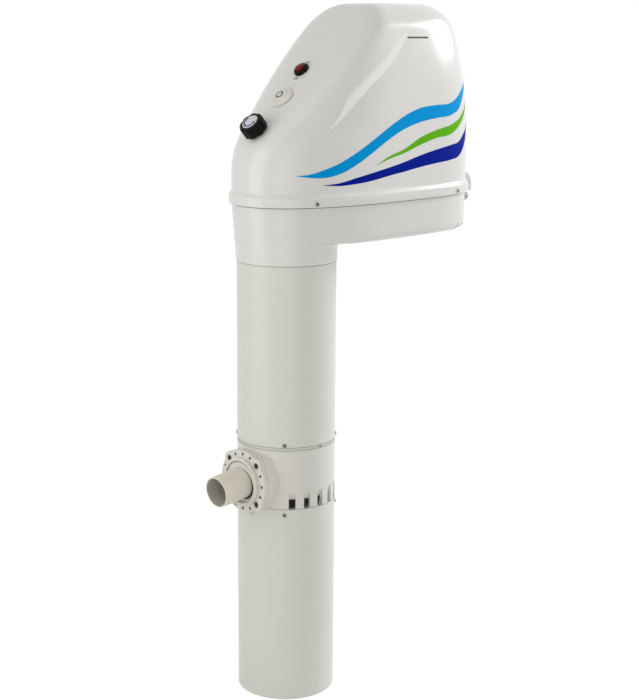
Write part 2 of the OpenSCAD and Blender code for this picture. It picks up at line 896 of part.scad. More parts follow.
module control_box() {
    color("gainsboro")
        translate([box_x, box_y, floor_z])
            difference() {
                cube(box_size);
                translate([box_wall, box_wall, -box_wall])
                    cube(box_size - [2 * box_wall, 2 * box_wall, 0]);
            }
}
module run_capacitor() {
    color("lightgray")
        translate([capacitor_x, capacitor_y, floor_z]) {
            cylinder(r = capacitor_r, h = capacitor_h);
            cylinder(r = capacitor_r + capacitor_foot, h = capacitor_foot_h);
        }
}

// Column
module upper_tube() {
    color("#d8d9d2")
        difference() {
            translate([0, 0, seal_top]) tube(tube_r, bore_r, upper_tube_len);
            for (angle = screw_angles)
                on_column(angle, jet_collar_top + screw_setback)
                    cylinder(r = screw_shank_r + fit_gap, h = tube_r + 2);
        }
}
module seal_ring() {
    color("#d0d1ca")
        difference() {
            translate([0, 0, jet_collar_top]) tube(tube_r, bore_r, seal_ring_h);
            for (angle = [0, 180])
                on_column(angle + 90, jet_collar_top + seal_ring_h / 2)
                    cylinder(r = locating_pin_r + fit_gap, h = tube_r + 2);
        }
}
module locating_pins() {
    color("dimgray")
        for (angle = [90, 270])
            on_column(angle, jet_collar_top + seal_ring_h / 2)
                translate([0, 0, bore_r])
                    cylinder(r = locating_pin_r, h = tube_wall + locating_pin_head);
}
module lower_tube() {
    color("#d8d9d2")
        difference() {
            translate([0, 0, column_bottom]) tube(tube_r, bore_r, lower_tube_len);
            for (angle = screw_angles)
                on_column(angle, jet_collar_bottom - screw_setback)
                    cylinder(r = screw_shank_r + fit_gap, h = tube_r + 2);
        }
}
module end_cap() {
    color("#c4c5be")
        translate([0, 0, column_bottom])
            difference() {
                cylinder(r = spigot_r, h = spigot_len);
                translate([0, 0, end_cap_h]) cylinder(r = spigot_bore_r, h = spigot_len);
            }
}
module column_screws() {
    color("#3a3a3c")
        for (angle = screw_angles, z = column_screw_z)
            on_column(angle, z) {
                translate([0, 0, tube_r + fit_gap / 2]) cylinder(r = screw_head_r, h = screw_head_h);
                translate([0, 0, spigot_bore_r + 1])
                    cylinder(r = screw_shank_r, h = tube_r - spigot_bore_r);
            }
}
module bulkhead() {
    color("lightgray")
        difference() {
            translate([0, 0, jet_collar_top + spigot_len - bulkhead_h])
                cylinder(r = spigot_bore_r - fit_gap, h = bulkhead_h);
            for (y = [suction_riser_y, -discharge_riser_y])
                translate([0, y, jet_collar_top]) cylinder(r = pipe_r + fit_gap, h = 2 * spigot_len);
            translate([0, air_hose_y, jet_collar_top])
                cylinder(r = air_hose_r + fit_gap, h = 2 * spigot_len);
        }
}

// Jet
module flange_outline() {
    circle(r = flange_r);
    for (angle = lobe_angles)
        rotate(angle) translate([bolt_circle_r, 0]) circle(r = lobe_r);
}
module jet_collar() {
    inner_r = tube_r - jet_collar_wall;
    depth = -ball_y - jet_gasket_t;
    chamber_z = ball_y - chamber_back;
    color("#d8d9d2")
        difference() {
            union() {
                translate([0, 0, jet_collar_bottom]) tube(tube_r, inner_r, jet_collar_h);
                for (z = [jet_collar_top - spigot_lap, jet_collar_bottom - spigot_len])
                    translate([0, 0, z]) tube(spigot_r, spigot_bore_r, spigot_len + spigot_lap);
                difference() {
                    at_jet() {
                        translate([0, 0, -jet_gasket_t - pad_len]) linear_extrude(pad_len) flange_outline();
                        translate([0, 0, chamber_z]) cylinder(r = chamber_r, h = depth + chamber_back);
                        translate([0, -boss_drop, -jet_gasket_t - boss_len])
                            cylinder(r = boss_r, h = boss_len);
                    }
                    translate([0, 0, jet_collar_bottom - spigot_len])
                        tube(tube_r + ball_gap, spigot_bore_r + spigot_wall / 2, spigot_len + ball_gap);
                }
                translate([0, -discharge_riser_y, nozzle_z])
                    cylinder(r = pipe_r + socket_wall, h = riser_socket_h);
                translate([0, air_hose_y, nozzle_z + chamber_r - chamber_wall])
                    cylinder(
                        r = air_hose_bore_r - fit_gap,
                        h = flange_r - chamber_r + chamber_wall + barb_len
                    );
            }
            at_jet() {
                sphere(r = socket_r);
                translate([0, 0, chamber_z + chamber_wall])
                    cylinder(r = chamber_r - chamber_wall,
                             h = -chamber_z - chamber_wall - seat_back - seat_wall);
                translate([0, 0, -seat_back - seat_wall - 1])
                    cylinder(r = socket_r - seat_wall, h = seat_wall + seat_back / 2);
                for (angle = lobe_angles)
                    rotate([0, 0, angle]) translate([bolt_circle_r, 0, -bolt_len])
                        cylinder(r = bolt_shank_r + fit_gap, h = bolt_len);
                small_screw_places() translate([0, 0, -small_screw_len])
                    cylinder(r = small_shank_r + fit_gap, h = small_screw_len);
            }
            translate([0, -discharge_riser_y, nozzle_z]) cylinder(r = pipe_bore_r, h = riser_socket_h);
            translate([0, -discharge_riser_y, nozzle_z + riser_seat])
                cylinder(r = pipe_r + fit_gap, h = riser_socket_h);
            for (k = [0 : slot_count - 1])
                rotate([0, 0, (k - (slot_count - 1) / 2) * slot_pitch]) slot_cutter();
            for (angle = screw_angles, z = column_screw_z)
                on_column(angle, z) cylinder(r = screw_shank_r + fit_gap, h = tube_r);
        }
}
// Wedge behind the column's axis: upright outer face, roof sloping down and inwards
module slot_cutter() {
    inner = tube_r - 2 * jet_collar_wall;
    outer = tube_r + jet_collar_wall;
    translate([slot_w / 2, 0, jet_collar_bottom])
        rotate([90, 0, -90])
            mirror([1, 0, 0])
                linear_extrude(slot_w)
                    polygon([[inner, 0], [outer, 0], [outer, slot_h], [tube_r, slot_h],
                             [tube_r - jet_collar_wall, slot_h - slot_ramp], [inner, slot_h - slot_ramp]]);
}
module small_screw_places() {
    for (k = [0 : 15])
        if (k % 4 != 2)
            rotate([0, 0, k * small_screw_step]) translate([bolt_circle_r, 0, 0]) children();
}
module jet_gasket() {
    color("#7f7f7d")
        at_jet()
            translate([0, 0, -jet_gasket_t])
                difference() {
                    linear_extrude(jet_gasket_t) flange_outline();
                    translate([0, 0, -1]) cylinder(r = socket_r + 1, h = jet_gasket_t + 2);
                    for (angle = lobe_angles)
                        rotate([0, 0, angle]) translate([bolt_circle_r, 0, -1])
                            cylinder(r = bolt_shank_r + fit_gap, h = jet_gasket_t + 2);
                    small_screw_places() translate([0, 0, -1])
                        cylinder(r = small_shank_r + fit_gap, h = jet_gasket_t + 2);
                }
}
module jet_flange() {
    color("#d8d9d2")
        at_jet()
            difference() {
                union() {
                    linear_extrude(flange_t) flange_outline();
                    cylinder(r = socket_r + jet_lip_wall, h = flange_t + jet_lip_h);
                }
                sphere(r = socket_r);
                for (angle = lobe_angles)
                    rotate([0, 0, angle]) translate([bolt_circle_r, 0, 0]) {
                        translate([0, 0, flange_t - bolt_head_h])
                            cylinder(r = bolt_head_r + bolt_recess_gap, h = bolt_head_h + 1);
                        translate([0, 0, -1]) cylinder(r = bolt_shank_r + fit_gap, h = flange_t + 2);
                    }
                small_screw_places() {
                    translate([0, 0, flange_t - small_screw_r])
                        cylinder(r = small_screw_r + fit_gap, h = small_screw_r + 1);
                    translate([0, 0, -1]) cylinder(r = small_shank_r + fit_gap, h = flange_t + 2);
                }
            }
}
module flange_bolts() {
    color("#574c3e")
        at_jet()
            for (angle = lobe_angles)
                rotate([0, 0, angle]) translate([bolt_circle_r, 0, flange_t - bolt_head_h]) {
                    difference() {
                        cylinder(r = bolt_head_r, h = bolt_head_h - 0.5);
                        translate([0, 0, bolt_head_h / 2]) hex(bolt_head_r, bolt_head_h);
                    }
                    translate([0, 0, -bolt_len + bolt_head_h])
                        cylinder(r = bolt_shank_r, h = bolt_len - bolt_head_h + 1);
                }
}
module flange_screws() {
    color("#3a3a3c")
        at_jet()
            small_screw_places() {
                translate([0, 0, flange_t - small_screw_r]) cylinder(r = small_screw_r, h = small_screw_r);
                translate([0, 0, -small_screw_len + small_screw_r])
                    cylinder(r = small_shank_r, h = small_screw_len + flange_t - 2 * small_screw_r);
            }
}
module ball_seat() {
    color("#d8d7cf")
        at_jet()
            intersection() {
                difference() {
                    sphere(r = seat_out_r);
                    sphere(r = seat_in_r);
                }
                translate([0, 0, -seat_back]) cylinder(r = 2 * ball_r, h = seat_front + seat_back);
            }
}
module at_nozzle() {
    at_jet() rotate([nozzle_droop, 0, 0]) children();
}
module jet_ball() {
    color("#dcdad0")
        at_nozzle()
            difference() {
                intersection() {
                    sphere(r = ball_r);
                    translate([0, 0, -ball_back]) cylinder(r = 2 * ball_r, h = ball_front + ball_back);
                }
                translate([0, 0, -5]) cylinder(r = pipe_r + fit_gap, h = ball_r);
                translate([0, 0, -ball_r]) cylinder(r = ball_throat_r, h = 2 * ball_r);
            }
}
module nozzle_pipe() {
    color("#c9c1b2")
        at_nozzle()
            translate([0, 0, -5]) tube(pipe_r, pipe_bore_r, nozzle_len + 5);
}

// Pipes
module suction_pipe() {
    low = jet_collar_top - spigot_lap;
    run_end = pump_y - suction_socket_reach + socket_depth;
    color("#9aa0a3")
        difference() {
            bent_pipe(pipe_r, suction_riser_y, low, suction_z, run_end);
            bent_pipe(pipe_bore_r, suction_riser_y, low - 1, suction_z, run_end + 1);
        }
}
module discharge_pipe() {
    low = nozzle_z + riser_seat;
    run_end = pump_y - discharge_socket_reach + socket_depth;
    color("#9aa0a3")
        difference() {
            bent_pipe(pipe_r, -discharge_riser_y, low, discharge_z, run_end);
            bent_pipe(pipe_bore_r, -discharge_riser_y, low - 1, discharge_z, run_end + 1);
        }
}

// Pump
module foot_bolt_places() {
    for (angle = lobe_angles)
        rotate([0, 0, angle]) translate([foot_bolt_r, 0, 0]) children();
}
module forward(z) {
    translate([0, 0, z]) rotate([90, 0, 0]) children();
}
module pump_casing() {
    color("#2f3438")
        at_pump()
            difference() {
                union() {
                    translate([0, 0, floor_z]) cylinder(r = foot_r, h = foot_h);
                    translate([0, 0, floor_z])
                        cylinder(r = suction_chamber_r, h = volute_bottom - floor_z + 1);
                    translate([0, 0, volute_bottom]) cylinder(r = volute_r, h = volute_h);
                    forward(suction_z) cylinder(r = pipe_r + socket_wall, h = suction_socket_reach);
                    forward(discharge_z) cylinder(r = pipe_r + socket_wall, h = discharge_socket_reach);
                }
                translate([0, 0, floor_z + foot_h])
                    cylinder(r = suction_bore_r, h = volute_bottom - floor_z - foot_h - socket_wall);
                translate([0, 0, floor_z + foot_h]) cylinder(r = eye_r, h = volute_bottom);
                translate([0, 0, volute_bottom + volute_wall])
                    cylinder(r = volute_r - volute_wall, h = volute_h);
                forward(suction_z) cylinder(r = pipe_bore_r, h = suction_socket_reach + 1);
                forward(suction_z) translate([0, 0, suction_socket_reach - socket_depth])
                    cylinder(r = pipe_r + fit_gap, h = socket_depth + 1);
                forward(discharge_z) cylinder(r = pipe_bore_r - 4, h = discharge_socket_reach + 1);
                forward(discharge_z) translate([0, 0, discharge_socket_reach - socket_depth])
                    cylinder(r = pipe_r + fit_gap, h = socket_depth + 1);
                foot_bolt_places() translate([0, 0, floor_z - 1])
                    cylinder(r = screw_shank_r + fit_gap, h = foot_h + 2);
                pump_bolt_places() translate([0, 0, volute_top - pump_bolt_depth - 2])
                    cylinder(r = screw_shank_r + fit_gap, h = pump_bolt_depth + 3);
            }
}
module foot_bolts() {
    color("silver")
        at_pump() foot_bolt_places() translate([0, 0, floor_z + foot_h]) {
            hex(2 * screw_head_r, screw_head_h);
            translate([0, 0, -foot_h - floor_z + 2]) cylinder(r = screw_shank_r, h = foot_h + floor_z);
        }
}
module impeller() {
    color("#b8a26a")
        at_pump()
            translate([0, 0, impeller_z])
                difference() {
                    union() {
                        tube(impeller_r, eye_r, shroud_t);
                        translate([0, 0, impeller_h - shroud_t]) cylinder(r = impeller_r, h = shroud_t);
                        cylinder(r = shaft_r + 6, h = impeller_h + 6);
                        for (k = [0 : vane_count - 1])
                            rotate([0, 0, k * 360 / vane_count])
                                translate([shaft_r + 4, -2, shroud_t / 2])
                                    rotate([0, 0, -20])
                                        cube([impeller_r - shaft_r - 12, 4, impeller_h - shroud_t]);
                    }
                    translate([0, 0, -1]) cylinder(r = shaft_r + running_gap, h = impeller_h + 10);
                }
}
module pump_bolt_places() {
    for (k = [0 : 7])
        rotate([0, 0, (k + 0.5) * 45]) translate([volute_r - volute_wall / 2, 0, 0]) children();
}
module pump_backplate() {
    color("#2f3438")
        at_pump()
            translate([0, 0, volute_top])
                difference() {
                    cylinder(r = volute_r, h = plate_h);
                    translate([0, 0, -1]) cylinder(r = seal_r, h = plate_h + 2);
                    pump_bolt_places() translate([0, 0, -1])
                        cylinder(r = screw_shank_r + fit_gap, h = plate_h + 2);
                }
}
module pump_bolts() {
    color("silver")
        at_pump() pump_bolt_places() translate([0, 0, volute_top + plate_h]) {
            hex(2 * screw_head_r, screw_head_h);
            translate([0, 0, -plate_h - pump_bolt_depth])
                cylinder(r = screw_shank_r, h = plate_h + pump_bolt_depth);
        }
}
module shaft_seal() {
    color("#4a4a4c")
        at_pump()
            translate([0, 0, volute_top]) tube(seal_r - fit_gap / 2, shaft_r + running_gap, plate_h);
}

// Motor
module bell(z, lower) {
    bearing_z = lower ? bearing_inset : bell_h - bearing_h - bearing_inset;
    at_pump()
        translate([0, 0, z])
            difference() {
                cylinder(r = motor_r, h = bell_h);
                translate([0, 0, -1]) cylinder(r = shaft_r + 2, h = bell_h + 2);
                translate([0, 0, bearing_z]) cylinder(r = bearing_r + fit_gap / 2, h = bell_h);
            }
}
module lower_bell() {
    color("#4d5a66") bell(bell_z, true);
}
module upper_bell() {
    color("#4d5a66") bell(upper_bell_z, false);
}
module motor_bearings() {
    color("silver")
        at_pump()
            for (z = [bell_z + bearing_inset, upper_bell_z + bell_h - bearing_h - bearing_inset])
                translate([0, 0, z]) tube(bearing_r, shaft_r + running_gap, bearing_h);
}
module motor_housing() {
    color("#4d5a66")
        at_pump()
            translate([0, 0, housing_z])
                difference() {
                    union() {
                        cylinder(r = motor_r, h = motor_len);
                        for (k = [0 : fin_count - 1])
                            let (angle = k * 360 / fin_count)
                            if (abs(angle - 90) > 35)
                                rotate([0, 0, angle])
                                    translate([motor_r - 3, -1, 8]) cube([fin_h + 3, 2, motor_len - 16]);
                    }
                    translate([0, 0, -1]) cylinder(r = motor_r - housing_wall, h = motor_len + 2);
                }
}
module motor_stator() {
    color("#8c5a34")
        at_pump()
            translate([0, 0, core_z]) tube(motor_r - housing_wall - fit_gap, rotor_r + air_gap, core_len);
}
module motor_rotor() {
    color("#7a7d80")
        at_pump()
            translate([0, 0, core_z]) tube(rotor_r, shaft_r + running_gap, core_len);
}
module motor_shaft() {
    color("silver")
        at_pump()
            translate([0, 0, impeller_z]) cylinder(r = shaft_r, h = fan_z + fan_h - impeller_z);
}
module motor_fan() {
    color("#202428")
        at_pump()
            translate([0, 0, fan_z])
                difference() {
                    union() {
                        cylinder(r = shaft_r + 8, h = fan_h);
                        cylinder(r = fan_r, h = 3);
                        for (k = [0 : blade_count - 1])
                            rotate([0, 0, k * 360 / blade_count])
                                translate([shaft_r + 6, -blade_t / 2, 0])
                                    cube([fan_r - shaft_r - 7, blade_t, fan_h]);
                    }
                    translate([0, 0, -1]) cylinder(r = shaft_r + running_gap, h = fan_h + 2);
                }
}
module fan_cover() {
    low = upper_bell_z + 4;
    hole_r = 6;
    color("#202428")
        at_pump()
            translate([0, 0, low])
                difference() {
                    cylinder(r = motor_r + fit_gap + cover_wall, h = cover_top - low);
                    translate([0, 0, -1])
                        cylinder(r = motor_r + fit_gap, h = cover_top - low - cover_wall + 1);
                    for (ring = [1 : 3], k = [0 : 8 * ring - 1])
                        rotate([0, 0, k * 45 / ring]) translate([ring * fan_r / 3.4, 0, 0])
                            cylinder(r = hole_r, h = cover_top);
                }
}
module terminal_box() {
    color("#202428")
        at_pump()
            difference() {
                translate([-terminal_size[0] / 2, motor_r - 10, housing_z + terminal_z]) cube(terminal_size);
                cylinder(r = motor_r + fit_gap, h = upper_bell_z);
            }
}

in_place() hood();
in_place() rim_gasket();
in_place() head_base();
in_place() rim_screws();
in_place() cable_cowl();
in_place() cable_gland();
in_place() air_knob();
in_place() knob_cap();
in_place() valve_spindle();
in_place() valve_nut();
in_place() air_valve();
in_place() air_hose();
in_place() button_bezel();
in_place() button_cap();
in_place() button_bellows();
in_place() bellows_nut();
in_place() air_line();
in_place() switch_bezel();
in_place() switch_rocker();
in_place() switch_body();
in_place() switch_lead();
in_place() control_box();
in_place() run_capacitor();
in_place() upper_tube();
in_place() seal_ring();
in_place() locating_pins();
in_place() jet_collar();
in_place() column_screws();
in_place() bulkhead();
in_place() lower_tube();
in_place() end_cap();
in_place() jet_gasket();
in_place() jet_flange();
in_place() flange_bolts();
in_place() flange_screws();
in_place() ball_seat();
in_place() jet_ball();
in_place() nozzle_pipe();
in_place() suction_pipe();
in_place() discharge_pipe();
in_place() pump_casing();
in_place() foot_bolts();
in_place() impeller();
in_place() pump_backplate();
in_place() pump_bolts();
in_place() shaft_seal();
in_place() lower_bell();
in_place() motor_housing();
in_place() motor_stator();
in_place() motor_rotor();
in_place() motor_shaft();
in_place() motor_bearings();
in_place() upper_bell();
in_place() motor_fan();
in_place() fan_cover();
in_place() terminal_box();
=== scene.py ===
import json
import math
from typing import NamedTuple

import bpy
import numpy as np
from bpy.props import FloatProperty, FloatVectorProperty, IntProperty, PointerProperty
from mathutils import Matrix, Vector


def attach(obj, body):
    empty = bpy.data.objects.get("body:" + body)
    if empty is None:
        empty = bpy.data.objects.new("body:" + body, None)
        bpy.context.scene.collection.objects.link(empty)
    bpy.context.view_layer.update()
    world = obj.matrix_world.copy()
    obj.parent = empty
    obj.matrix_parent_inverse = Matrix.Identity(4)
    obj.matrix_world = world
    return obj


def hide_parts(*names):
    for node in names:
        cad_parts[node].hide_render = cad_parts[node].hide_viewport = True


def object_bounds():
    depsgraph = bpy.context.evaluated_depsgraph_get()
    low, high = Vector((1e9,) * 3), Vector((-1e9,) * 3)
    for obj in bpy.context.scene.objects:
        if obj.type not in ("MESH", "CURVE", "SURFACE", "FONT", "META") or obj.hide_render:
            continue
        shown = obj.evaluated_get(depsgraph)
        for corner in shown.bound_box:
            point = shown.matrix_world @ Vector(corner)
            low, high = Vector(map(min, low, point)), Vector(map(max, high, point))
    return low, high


bl_info = {
    "name": "Swim jet looks",
    "version": (1, 0, 0),
    "blender": (4, 5, 0),
    "location": "View3D > Sidebar > Swim jet",
    "description": "Dresses a hang-on swim jet with smooth shells, controls, stripes and finishes",
    "category": "Object",
}

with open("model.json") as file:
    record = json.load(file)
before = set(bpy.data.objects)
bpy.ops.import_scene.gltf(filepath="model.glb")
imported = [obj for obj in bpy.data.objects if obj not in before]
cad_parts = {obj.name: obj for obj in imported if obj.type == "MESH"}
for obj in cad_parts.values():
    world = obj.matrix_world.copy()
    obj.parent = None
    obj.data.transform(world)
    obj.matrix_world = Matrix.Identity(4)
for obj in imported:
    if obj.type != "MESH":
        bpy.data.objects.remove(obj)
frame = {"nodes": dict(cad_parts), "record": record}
CAD_BOX = [list(corner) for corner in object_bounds()]
MM = 0.001
UP = np.array([0.0, 0.0, 1.0])
QUARTER = np.pi / 2
# Centre of the nozzle's ball, and turn of the nozzle's axis from Z about X
BALL_CENTRE = (0.0, -0.359, -0.474)
BALL_TURN = math.radians(96)
# Points round the hood's and the base's sections
HOOD_COLUMNS = 440
BASE_COLUMNS = 420
# Distance of the base's outer face inside the hood's rim
BASE_INSET = 0.3 * MM


def length(label, description, default):
    """A length property in metres."""
    return FloatProperty(name=label, description=description, default=default, unit="LENGTH", precision=4)


def plain_number(label, description, default):
    """A property with no unit."""
    return FloatProperty(name=label, description=description, default=default)


def slope_angle(label, description, degrees):
    """An angle property, given in degrees."""
    return FloatProperty(name=label, description=description, default=math.radians(degrees), subtype="ANGLE")


def lamp_power(label, description, default):
    """A lamp's power property in watts."""
    return FloatProperty(name=label, description=description, default=default, unit="POWER")


def colour(label, description, default):
    """A colour property, in linear light."""
    return FloatVectorProperty(
        name=label, description=description, default=default, size=3, min=0, max=1, subtype="COLOR"
    )


class SwimJetHead(bpy.types.PropertyGroup):
    """Sizes of the hood and the base, from the column's axis and the seat."""

    width: length("Width", "Width of the hood over its side walls", 0.274)
    front: length("Front", "Reach of the hood in front of the column's axis", 0.111)
    back: length("Back", "Reach of the hood behind the column's axis", 0.457)
    widest: length("Widest place", "Distance from the column's axis to the widest section", 0.185)
    seat: length("Seat", "Distance from the column's axis to the middle of the seat", 0.250)
    base_height: length("Base height", "Height of the hood's rim above the seat", 0.078)
    hood_height: length("Hood height", "Height of the hood above its rim", 0.386)
    wall: length("Wall", "Wall of the hood and the base", 0.0045)
    side_bow: length("Side bow", "Inward bow of the hood's sides at its top", 0.048)
    bow_power: plain_number("Bow power", "How late the sides bow in", 3.2)
    crown: length("Crown", "Rounding of the hood's top edges", 0.051)
    crown_share: plain_number("Crown place", "Place of the top's widest section, front to rear", 0.2)
    front_square: plain_number("Front squareness", "Power of the front outline, 2 is round", 2.37)
    back_square: plain_number("Rear squareness", "Power of the rear outline, 2 is round", 3.45)
    panel_square: plain_number("Panel squareness", "Gain in power per metre up the panel", 10.5)
    panel_angle: slope_angle("Panel slope", "Slope of the control panel from the horizontal", 43.5)
    panel_y: length("Panel place", "Distance from the column's axis to the panel's middle", -0.016)
    panel_z: length("Panel height", "Height of the panel's middle above the seat", 0.280)
    nose: length("Nose", "Rounding between the front and the panel", 0.125)
    brow: length("Brow", "Rounding between the panel and the top", 0.055)
    lip_step: length("Lip step", "Step of the rim's lip over the wall", 0.0055)
    # Painted highlight: the scoop's facet is coloured lighter than the rest of the hood, in place of the
    # light falling on it
    facet_highlight_gain: plain_number("Facet tone", "How much lighter the scoop's facet is than the hood", 0.17)
    crease: length("Crease", "Depth of the scoop on each side at its crease", 0.0044)
    facet: length("Facet", "Width of the scoop's facet above its crease", 0.024)
    scoop_return: length("Scoop return", "Width over which the side comes back below the crease", 0.050)
    slit_y: length("Slit place", "Distance from the column's axis to the middle of the slit", 0.255)
    slit_z: length("Slit level", "Height of the slit's middle above the seat", 0.3972)
    slit_length: length("Slit length", "Length of the slit on each side", 0.059)
    slit_height: length("Slit height", "Height of the slit on each side", 0.0035)
    base_round: length("Base rounding", "Rounding of the base's lower edge", 0.018)
    collar: length("Collar", "Radius of the collar round the column", 0.1015)
    collar_drop: length("Collar drop", "Drop of the collar below the seat", 0.036)
    column: length("Column", "Radius of the column", 0.100)
    fillet: length("Fillet", "Rounding between the base's underside and the collar", 0.008)


class SwimJetControls(bpy.types.PropertyGroup):
    """Places and sizes of the controls, along the panel from its middle."""

    knob_place: length("Knob place", "Place of the air knob", -0.087)
    knob_radius: length("Knob radius", "Radius of the air knob", 0.025)
    knob_height: length("Knob height", "Height of the air knob", 0.024)
    disc_radius: length("Disc radius", "Radius of the pale disc on the air knob", 0.0166)
    knob_flutes: IntProperty(name="Knob flutes", description="Grip flutes round the knob", default=8)
    button_place: length("Button place", "Place of the push button", 0.0028)
    bezel_radius: length("Bezel radius", "Radius of the button's bezel", 0.026)
    button_radius: length("Button radius", "Radius of the push button", 0.015)
    switch_place: length("Switch place", "Place of the rocker switch", 0.077)
    switch_radius: length("Switch radius", "Radius of the switch's bezel", 0.016)
    rocker_radius: length("Rocker radius", "Radius of the rocker", 0.0104)
    rocker_tilt: slope_angle("Rocker tilt", "Tilt of the rocker at rest", 8)


class SwimJetScrews(bpy.types.PropertyGroup):
    """Sizes and places of the cross-head screws on the lip and the column."""

    radius: length("Head radius", "Radius of a screw's head", 0.00475)
    height: length("Head height", "Height of a screw's head", 0.0031)
    arm: length("Cross arm", "Half width of the cross recess's arms", 0.0009)
    reach: length("Cross reach", "Reach of the cross recess from the middle", 0.0037)
    lip_level: length("Lip level", "Height of the lip's screws above the seat", 0.0852)
    upper_level: length("Upper level", "Height of the column's upper screws", -0.3945)
    lower_level: length("Lower level", "Height of the column's lower screws", -0.5395)


class SwimJetColours(bpy.types.PropertyGroup):
    """Colours of the finishes, in linear light."""

    hood: colour("Hood", "Glossy white of the hood", (0.79, 0.79, 0.775))
    base: colour("Base", "Glossy white of the base", (0.77, 0.77, 0.75))
    tube: colour("Tube", "Pale grey-green white of the column", (0.735, 0.745, 0.70))
    collar: colour("Jet collar", "White of the jet collar and the flange", (0.75, 0.745, 0.71))
    ball: colour("Ball", "Cream of the nozzle's ball and its seat", (0.73, 0.72, 0.67))
    nozzle: colour("Nozzle", "Warm beige of the nozzle pipe", (0.81, 0.775, 0.68))
    light_stripe: colour("Light stripe", "Light blue stripe", (0.0, 0.34, 0.80))
    green_stripe: colour("Green stripe", "Green stripe", (0.13, 0.50, 0.012))
    dark_stripe: colour("Dark stripe", "Dark blue stripe", (0.0, 0.012, 0.31))
    black: colour("Black", "Glossy black of the knob and the switch", (0.005, 0.005, 0.0055))
    symbol: colour("Symbol", "Blue violet of the printed symbols", (0.03, 0.02, 0.20))
    lens: colour("Rocker", "Dark red of the rocker", (0.16, 0.012, 0.01))
    screw: colour("Screws", "Light steel of the cross-head screws", (0.42, 0.41, 0.38))
    recess: colour("Recesses", "Shade of gaps, slits and screw recesses", (0.035, 0.032, 0.03))
    # Painted shade: this grey stands in for the shade in the seams round the column and inside the hood's
    # slits
    seam: colour("Seams", "Grey of the seams round the column", (0.25, 0.24, 0.22))


class SwimJetStage(bpy.types.PropertyGroup):
    """Camera and light."""

    lens: plain_number("Lens", "Focal length in millimetres", 75.03)
    sky: plain_number("Fill light", "Level of the even light from all sides", 0.35)
    left_lamp: lamp_power("Left lamp", "Power of the left lamp", 17)
    front_lamp: lamp_power("Front lamp", "Power of the front lamp", 10)
    high_lamp: lamp_power("High lamp", "Power of the high left lamp", 8)
    side_lamp: lamp_power("Side lamp", "Power of the lamp on the right", 6.5)
    rear_lamp: lamp_power("Rear lamp", "Power of the far lamp at the right and behind", 150)


def head_sizes():
    return bpy.context.scene.swim_jet_head


def control_sizes():
    return bpy.context.scene.swim_jet_controls


def screw_sizes():
    return bpy.context.scene.swim_jet_screws


def colours():
    return bpy.context.scene.swim_jet_colours


# Shell formulas

# How late up the hood the widest place moves forward, as a power of the height
FORWARD_POWER = 10
# How far below its middle the panel starts to square
PANEL_RUN = 0.052
# Lengths between which the sides carry the scoop, and how much finer the steps are there
SCOOP_REACH = (-0.02, 0.26)
FINER = 2.5


def signed_power(value, power):
    """Power of the size of a value, with the value's sign kept."""
    return np.sign(value) * np.abs(value) ** power


def front_profile(head, z, inset):
    """Front of the hood in the middle plane at height z: an upright front, the nose arc tangent to it,
    the panel's straight slope, and the brow arc tangent to the lid."""
    angle = head.panel_angle
    front = -head.front + inset
    shift = inset / np.sin(angle)
    slope = head.panel_y + (z - head.panel_z) / np.tan(angle) + shift
    nose_z = head.panel_z + (front - head.panel_y - shift) * np.tan(angle)
    nose = head.nose - inset
    nose_run = nose * np.tan((QUARTER - angle) / 2)
    lid = head.base_height + head.hood_height - inset
    brow = head.brow - inset
    brow_run = brow * np.tan(angle / 2)
    brow_y = head.panel_y + (lid - head.panel_z) / np.tan(angle) + shift + brow_run
    nose_arc = front + nose - np.sqrt(np.maximum(0, nose**2 - (z - nose_z + nose_run) ** 2))
    brow_arc = brow_y - np.sqrt(np.maximum(0, brow**2 - (z - lid + brow) ** 2))
    return np.select(
        [z < nose_z - nose_run, z < nose_z + nose_run * np.sin(angle), z < lid - brow_run * np.sin(angle)],
        [front, nose_arc, slope],
        brow_arc,
    )


def hood_frame(head, z, inset, step):
    """Half width, front, rear, widest place and front power of the hood's section at height z.
    The half width shrinks by the side bow, a power of the height, and by the crown's quarter round."""
    top = head.base_height + head.hood_height
    share = np.maximum(0, (z - head.base_height) / head.hood_height)
    crown = head.crown - inset
    rise = np.clip(z - (top - head.crown), 0, crown)
    drawn_in = head.side_bow * share**head.bow_power + crown - np.sqrt(crown**2 - rise**2) + inset - step
    top_front = front_profile(head, np.asarray(top), 0.0)
    top_rear = head.back - head.side_bow - head.crown
    crown_y = top_front + head.crown_share * (top_rear - top_front)
    middle = head.widest + (crown_y - head.widest) * share**FORWARD_POWER
    power = head.front_square + head.panel_square * np.maximum(0, z - head.panel_z + PANEL_RUN)
    front = front_profile(head, z, inset) - step
    return head.width / 2 - drawn_in, front, head.back - drawn_in, middle, power


def hood_surface(head, turn, z, inset=0.0, step=0.0):
    """Point of the hood at a turn of its section and a height: a superellipse whose front and rear halves
    have their own reach and power. The result is in the part's frame."""
    half, front, rear, middle, power = hood_frame(head, z, inset, step)
    sine, cosine = np.sin(turn), np.cos(turn)
    exponent = 2 / np.where(sine < 0, power, head.back_square)
    reach = np.where(sine < 0, middle - front, rear - middle)
    x = half * signed_power(cosine, exponent)
    y = middle + reach * signed_power(sine, exponent) - head.seat
    return np.stack(np.broadcast_arrays(x, y, z + 0 * turn), axis=-1)


def rim_outline(head, turn, step):
    """Outline of the hood's rim stepped outwards, as pairs in the part's frame."""
    return hood_surface(head, turn, np.full_like(turn, head.base_height), 0.0, step)[:, :2]


def level(outline, z):
    """Points of an outline at one height."""
    return np.c_[outline, np.full(len(outline), z)]


def hood_turn(head, y, z):
    """Turn of the right side's point at a distance y from the column's axis, by the inverse superellipse."""
    _, front, rear, middle, power = hood_frame(head, z, 0.0, 0.0)
    share = np.where(y < middle, (y - middle) / (middle - front), (y - middle) / (rear - middle))
    exponent = np.where(y < middle, power, head.back_square) / 2
    return np.arcsin(np.clip(signed_power(share, exponent), -1, 1))


